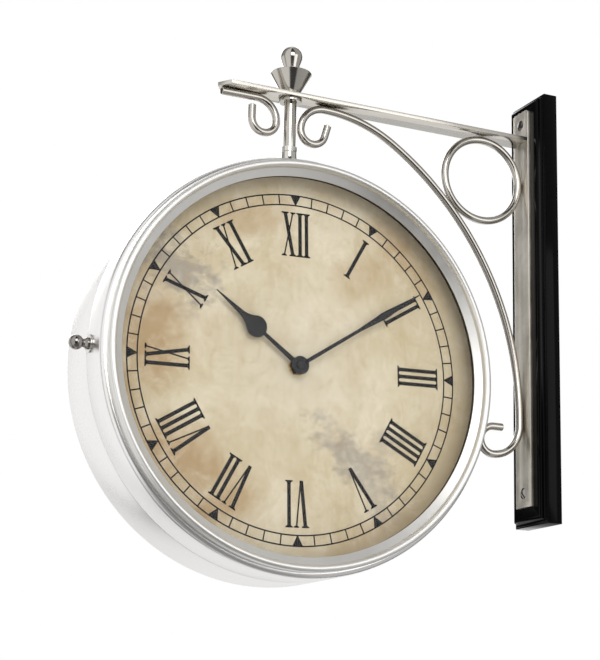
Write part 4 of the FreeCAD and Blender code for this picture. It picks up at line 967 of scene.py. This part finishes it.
def hanger():
    """Pipe, flange, cup and finial, all turned about the upright axis."""
    bar = MATERIALS["bar_nickel"]
    wall = PIPE_RADIUS - PIPE_WALL
    outline = [(wall, PIPE_FOOT), (PIPE_RADIUS, PIPE_FOOT), (PIPE_RADIUS, PIPE_TOP), (wall, PIPE_TOP)]
    fit(lathe("pipe_skin", outline, "z", steps=72), "case", "hanger_pipe", material=bar)
    bore = PIPE_RADIUS + SLIP_FIT
    outline = [(bore, FLANGE_LOW), (FLANGE_RADIUS, FLANGE_LOW), (FLANGE_RADIUS, FLANGE_HIGH),
               (bore, FLANGE_HIGH)]
    piece = lathe("arm_flange_skin", outline, "z", steps=96, soft=0.5)
    fit(piece, "case", "arm_flange", material=bar)
    top = CUP_BASE + CUP_HEIGHT
    dish = top - CUP_DISH_DEPTH
    rim = CUP_RIM - CUP_EDGE
    span = rim - CUP_DISH_RADIUS
    hollow = (span ** 2 + CUP_DISH_DEPTH ** 2) / (2 * CUP_DISH_DEPTH)
    sweep = math.degrees(math.asin(span / hollow))
    outline = [(bore, CUP_BASE), (CUP_FOOT, CUP_BASE), (CUP_BULGE, CUP_BASE + CUP_BULGE_AT),
               (CUP_RIM, top - CUP_EDGE)]
    outline += arc(rim, top - CUP_EDGE, CUP_EDGE, 0, 90, 6)
    outline += arc(CUP_DISH_RADIUS, dish + hollow, hollow, -90 + sweep, -90, 14)
    outline += [(ROD_BORE, dish), (ROD_BORE, CUP_BASE + CUP_SOCKET), (bore, CUP_BASE + CUP_SOCKET)]
    fit(lathe("cup_skin", outline, "z", steps=120, soft=0.4), "case", "cup", material=bar)
    foot = dish + SLIP_FIT
    away = math.hypot(NECK_RADIUS, TAPER_DROP)
    touch = math.degrees(math.acos(BALL_RADIUS / away) - math.atan2(TAPER_DROP, NECK_RADIUS))
    outline = [(ROD_BORE, foot), (NECK_FOOT, foot), (NECK_RADIUS, foot + NECK_FLARE),
               (NECK_RADIUS, BALL_HEIGHT - TAPER_DROP)]
    outline += arc(0, BALL_HEIGHT, BALL_RADIUS, touch, 90, 36)
    outline += [(0, BALL_HEIGHT - ROD_END), (ROD_BORE, BALL_HEIGHT - ROD_END)]
    fit(lathe("finial_skin", outline, "z", steps=96, soft=0.4), "case", "finial", material=bar)


# Bracket

def end_scroll_route():
    """The hook under the arm's free end."""
    bend_z = BAR_RISE - END_BEND
    route = [(END_START, BAR_RISE)]
    route += arc(END_BEND_AT, bend_z, END_BEND, 90, 0, 24)
    route += arc(END_CURL_AT, bend_z, END_CURL, 0, -180, 40)[1:]
    route += [(END_CURL_AT - END_CURL, bend_z + END_TAIL)]
    return route


def brace_route():
    """The upper curl, the two long tangent arcs and the curl at the foot."""
    split = math.radians(BRACE_SPLIT)
    across = BAR_REACH - BRACE_START
    share = math.sin(split) * math.cos(split) - (1 - math.sin(split)) * (1 - math.cos(split))
    upper = (across * math.cos(split) - BRACE_DROP * (1 - math.sin(split))) / share
    lower = (BRACE_DROP * math.sin(split) - across * (1 - math.cos(split))) / share
    upper_z = BAR_RISE - upper
    lower_x = BRACE_START + (upper - lower) * math.sin(split)
    lower_z = upper_z + (upper - lower) * math.cos(split)
    turn_z = BAR_RISE - BRACE_TURN
    rise = math.radians(BRACE_TAIL_TILT)
    curl_x = BRACE_START - BRACE_TURN + BRACE_CURL
    tail = (curl_x + BRACE_CURL * math.cos(rise), turn_z - BRACE_CURL * math.sin(rise))
    route = [(tail[0] + BRACE_TAIL * math.sin(rise), tail[1] + BRACE_TAIL * math.cos(rise))]
    route += arc(curl_x, turn_z, BRACE_CURL, -BRACE_TAIL_TILT, -180, 40)
    route += arc(BRACE_START, turn_z, BRACE_TURN, 180, 90, 24)[1:]
    route += arc(BRACE_START, upper_z, upper, 90, 90 - BRACE_SPLIT, 40)[1:]
    route += arc(lower_x, lower_z, lower, 90 - BRACE_SPLIT, 0, 90)[1:]
    foot_x, foot_z = BAR_REACH - FOOT_TURN, lower_z - FOOT_DROP
    curl_z = foot_z - FOOT_TURN + FOOT_CURL
    route += arc(foot_x, foot_z, FOOT_TURN, 0, -90, 30)
    route += arc(foot_x, curl_z, FOOT_CURL, -90, -270, 40)[1:]
    route += [(foot_x + FOOT_TAIL, curl_z + FOOT_CURL)]
    return route


# Flat CAD pieces with eased edges: (node, width of the easing, finish where it isn't the slot's)
EASED = [
    ("bracket_arm", 0.35, None),
    ("wall_strap", 0.35, "strap_nickel"),
    ("strap_screws", 0.12, "dark_chrome"),
    ("backboard", 0.5, None),
]


def bracket():
    """Round bars as fine tubes, and the flat pieces with eased edges."""
    bar = MATERIALS["bar_nickel"]
    fit(tube("end_scroll_bar", end_scroll_route()), "bracket", "end_scroll", material=bar)
    fit(tube("brace_scroll_bar", brace_route()), "bracket", "brace_scroll", material=bar)
    ring_low, ring_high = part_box("bracket_ring")
    middle = ((ring_low + ring_high) / 2 - CENTRE) / MM
    reach = (ring_high.x - ring_low.x) / MM / 2 - BAR_RADIUS
    ring = arc(middle.x, middle.z, reach, 0, 360, 160)[:-1]
    fit(tube("bracket_ring_bar", ring, closed=True), "bracket", "bracket_ring", material=bar)
    for node, width, finish in EASED:
        fit(eased_copy(node, width), "bracket", node, material=MATERIALS.get(finish))


# Latch

def latch():
    """The ball-headed screw that holds the front half shut, and its washer."""
    skin = -CASE_RADIUS
    offset = (0, LATCH_DEPTH, 0)
    seat = skin - WASHER_THICK - SLIP_FIT
    end = skin + LATCH_END
    outline = [(0, end), (LATCH_POINT, end), (LATCH_THREAD, end - LATCH_CHAMFER), (LATCH_THREAD, seat),
               (LATCH_COLLAR, seat), (LATCH_COLLAR, seat - LATCH_COLLAR_THICK),
               (LATCH_NECK, seat - LATCH_SHOULDER)]
    join = math.degrees(math.asin(LATCH_NECK / LATCH_BALL))
    ball = arc(skin - LATCH_REACH + LATCH_BALL, 0, LATCH_BALL, join, 180, 30)
    outline += [(radius, place) for place, radius in ball]
    piece = lathe("latch_screw_skin", outline, "x", offset, 96, 0.2)
    fit(piece, "latch_screw", "latch_screw", material=MATERIALS["dark_chrome"])
    bore, near, far = LATCH_THREAD + SLIP_FIT, skin - SLIP_FIT, skin - WASHER_THICK
    washer = [(bore, near), (WASHER_RADIUS, near), (WASHER_RADIUS, far), (bore, far)]
    fit(lathe("latch_washer_skin", washer, "x", offset, 96, 0.25), "latch_washer", "latch_washer")


# Studio

# The camera sees plain white all round. Polished metal mirrors a studio's walls: a pale
# backdrop, the gaps beside it, soft boxes at both sides and the dim room behind the camera.

# (degrees to the right of the camera, as seen from the clock; brightness)
SURROUND = [
    (-180, 0.92), (-146, 0.92), (-138, 0.08), (-122, 0.08), (-112, 0.4), (-74, 0.4), (-66, 1.0), (-14, 1.0),
    (-6, 0.07), (34, 0.07), (42, 0.5), (118, 0.55), (124, 0.1), (140, 0.1), (150, 0.92), (180, 0.92),
]


def camera_heading():
    """The level directions from the clock towards the camera and to the camera's right."""
    azimuth = math.radians(AZIMUTH)
    sine, cosine = math.sin(azimuth), math.cos(azimuth)
    return Vector((sine, -cosine, 0)), Vector((cosine, sine, 0))


def surround(tree):
    """Brightness of the studio's walls in the direction of a reflected ray."""
    heading, right = camera_heading()
    direction = tree.nodes.new("ShaderNodeTexCoord").outputs["Generated"]
    parts = []
    for axis in (right, heading):
        dot = tree.nodes.new("ShaderNodeVectorMath")
        dot.operation = "DOT_PRODUCT"
        tree.links.new(direction, dot.inputs[0])
        dot.inputs[1].default_value = axis
        parts.append(dot.outputs["Value"])
    angle = tree.nodes.new("ShaderNodeMath")
    angle.operation = "ARCTAN2"
    tree.links.new(parts[0], angle.inputs[0])
    tree.links.new(parts[1], angle.inputs[1])
    share = tree.nodes.new("ShaderNodeMapRange")
    tree.links.new(angle.outputs[0], share.inputs["Value"])
    share.inputs["From Min"].default_value = -math.pi
    share.inputs["From Max"].default_value = math.pi
    ramp = tree.nodes.new("ShaderNodeValToRGB")
    tree.links.new(share.outputs["Result"], ramp.inputs["Fac"])
    stops = ramp.color_ramp.elements
    while len(stops) < len(SURROUND):
        stops.new(0.5)
    for stop, (degrees, level) in zip(stops, SURROUND):
        stop.position = degrees / 360 + 0.5
        stop.color = (level, level, level, 1)
    return ramp.outputs["Color"]


def studio():
    """The world: white to the camera and through glass, plain for diffuse light, walls for gloss."""
    world = bpy.data.worlds.new("studio")
    bpy.context.scene.world = world
    world.use_nodes = True
    tree = world.node_tree
    background = tree.nodes["Background"]
    background.inputs["Strength"].default_value = 1.0
    path = tree.nodes.new("ShaderNodeLightPath")
    lit = tree.nodes.new("ShaderNodeMix")
    lit.data_type = "RGBA"
    tree.links.new(path.outputs["Is Glossy Ray"], lit.inputs["Factor"])
    lit.inputs[6].default_value = (AMBIENT, AMBIENT, AMBIENT, 1)
    tree.links.new(surround(tree), lit.inputs[7])
    seen = tree.nodes.new("ShaderNodeMath")
    seen.operation = "MAXIMUM"
    tree.links.new(path.outputs["Is Camera Ray"], seen.inputs[0])
    tree.links.new(path.outputs["Is Transmission Ray"], seen.inputs[1])
    shown = tree.nodes.new("ShaderNodeMix")
    shown.data_type = "RGBA"
    tree.links.new(seen.outputs[0], shown.inputs["Factor"])
    tree.links.new(lit.outputs[2], shown.inputs[6])
    shown.inputs[7].default_value = (1, 1, 1, 1)
    tree.links.new(shown.outputs[2], background.inputs["Color"])


def rectangle(name, width, height, level=0.0):
    """A flat piece about the origin, face up, in metres."""
    mesh = bpy.data.meshes.new(name)
    x, y = width / 2, height / 2
    mesh.from_pydata([(-x, -y, level), (x, -y, level), (x, y, level), (-x, y, level)], [], [(0, 1, 2, 3)])
    piece = bpy.data.objects.new(name, mesh)
    bpy.context.scene.collection.objects.link(piece)
    return piece


def floor():
    """A pale floor that keeps the object's shadow; polished metal mirrors the walls instead."""
    piece = rectangle("floor", FLOOR_SIZE, FLOOR_SIZE, FLOOR_LEVEL)
    white = plain_material("floor_white", linear(236, 236, 236), linear(242, 242, 242), 0.7, 0.8, 4)
    piece.data.materials.append(white)
    piece.visible_glossy = False


def facing(place, target):
    """The turn that points a lamp or a card at a target."""
    return (Vector(target) - Vector(place)).to_track_quat("-Z", "Y").to_euler()


def area_light(name, place, target, width, height, power):
    light = bpy.data.lights.new(name, "AREA")
    light.shape = "RECTANGLE"
    light.size = width
    light.size_y = height
    light.energy = power
    lamp = bpy.data.objects.new(name, light)
    lamp.location = place
    lamp.rotation_euler = facing(place, target)
    bpy.context.scene.collection.objects.link(lamp)


def lights():
    """Soft light from the front on both sides, and one lamp for the rear dial."""
    target = CENTRE[:]
    area_light("key", (-0.9, -2.9, 1.1), target, 1.9, 1.9, 38)
    area_light("fill", (0.9, -2.7, 0.2), target, 1.8, 1.8, 14)
    area_light("rear_fill", (0.4, 2.6, 1.2), target, 1.8, 1.6, 22)


def card(name, place, target, width, height, level):
    """A card beside the picture, which only the polished metal mirrors."""
    piece = rectangle(name, width, height)
    piece.location = place
    piece.rotation_euler = facing(place, target)
    shader = Shader(name + "_cloth")
    shader.put(Base_Color=(0, 0, 0, 1), Roughness=1.0)
    shader.surface.inputs["Specular IOR Level"].default_value = 0.0
    shader.surface.inputs["Emission Color"].default_value = (level, level, level, 1)
    shader.surface.inputs["Emission Strength"].default_value = 1.0
    piece.data.materials.append(shader.material)
    piece.visible_camera = False
    piece.visible_shadow = False
    piece.visible_diffuse = False
    piece.visible_transmission = False


def cards():
    card("card_left", (-0.75, 0.42, -0.10), (-0.376, 0.0, -0.077), 0.62, 0.9, 1.0)
    card("card_under", (-0.40, -0.50, -0.70), (-0.40, -0.50, 0.0), 0.9, 0.8, 0.25)


def camera():
    """The photograph's viewing angle, its lens set by the focal length in pixels."""
    azimuth, elevation = math.radians(AZIMUTH), math.radians(ELEVATION)
    level = math.cos(elevation)
    forward = Vector((-math.sin(azimuth) * level, math.cos(azimuth) * level, -math.sin(elevation)))
    aim = CENTRE + AIM * MM + Vector((0, -DIAL_REACH * MM, 0))
    place = aim - forward * DISTANCE
    right = forward.cross(Vector((0, 0, 1))).normalized()
    up = right.cross(forward)
    roll = math.radians(ROLL)
    tilted_right = right * math.cos(roll) + up * math.sin(roll)
    tilted_up = up * math.cos(roll) - right * math.sin(roll)
    lens = bpy.data.cameras.new("camera")
    lens.sensor_fit = "VERTICAL"
    lens.sensor_height = SENSOR_HEIGHT
    lens.lens = SENSOR_HEIGHT * FOCAL_PIXELS / PICTURE_HEIGHT
    lens.clip_start = 0.05
    eye = bpy.data.objects.new("camera", lens)
    turn = Matrix((tilted_right, tilted_up, -forward)).transposed()
    eye.matrix_world = Matrix.Translation(place) @ turn.to_4x4()
    bpy.context.scene.collection.objects.link(eye)
    bpy.context.scene.camera = eye


dress_nodes()
shells()
for face in ("front", "rear"):
    bezel(face)
    glass(face)
    dial_disc(face)
    numerals(face)
    minute_track(face)
    hands(face)
hanger()
bracket()
latch()
studio()
floor()
lights()
cards()
camera()
bpy.context.scene.view_settings.view_transform = "Standard"
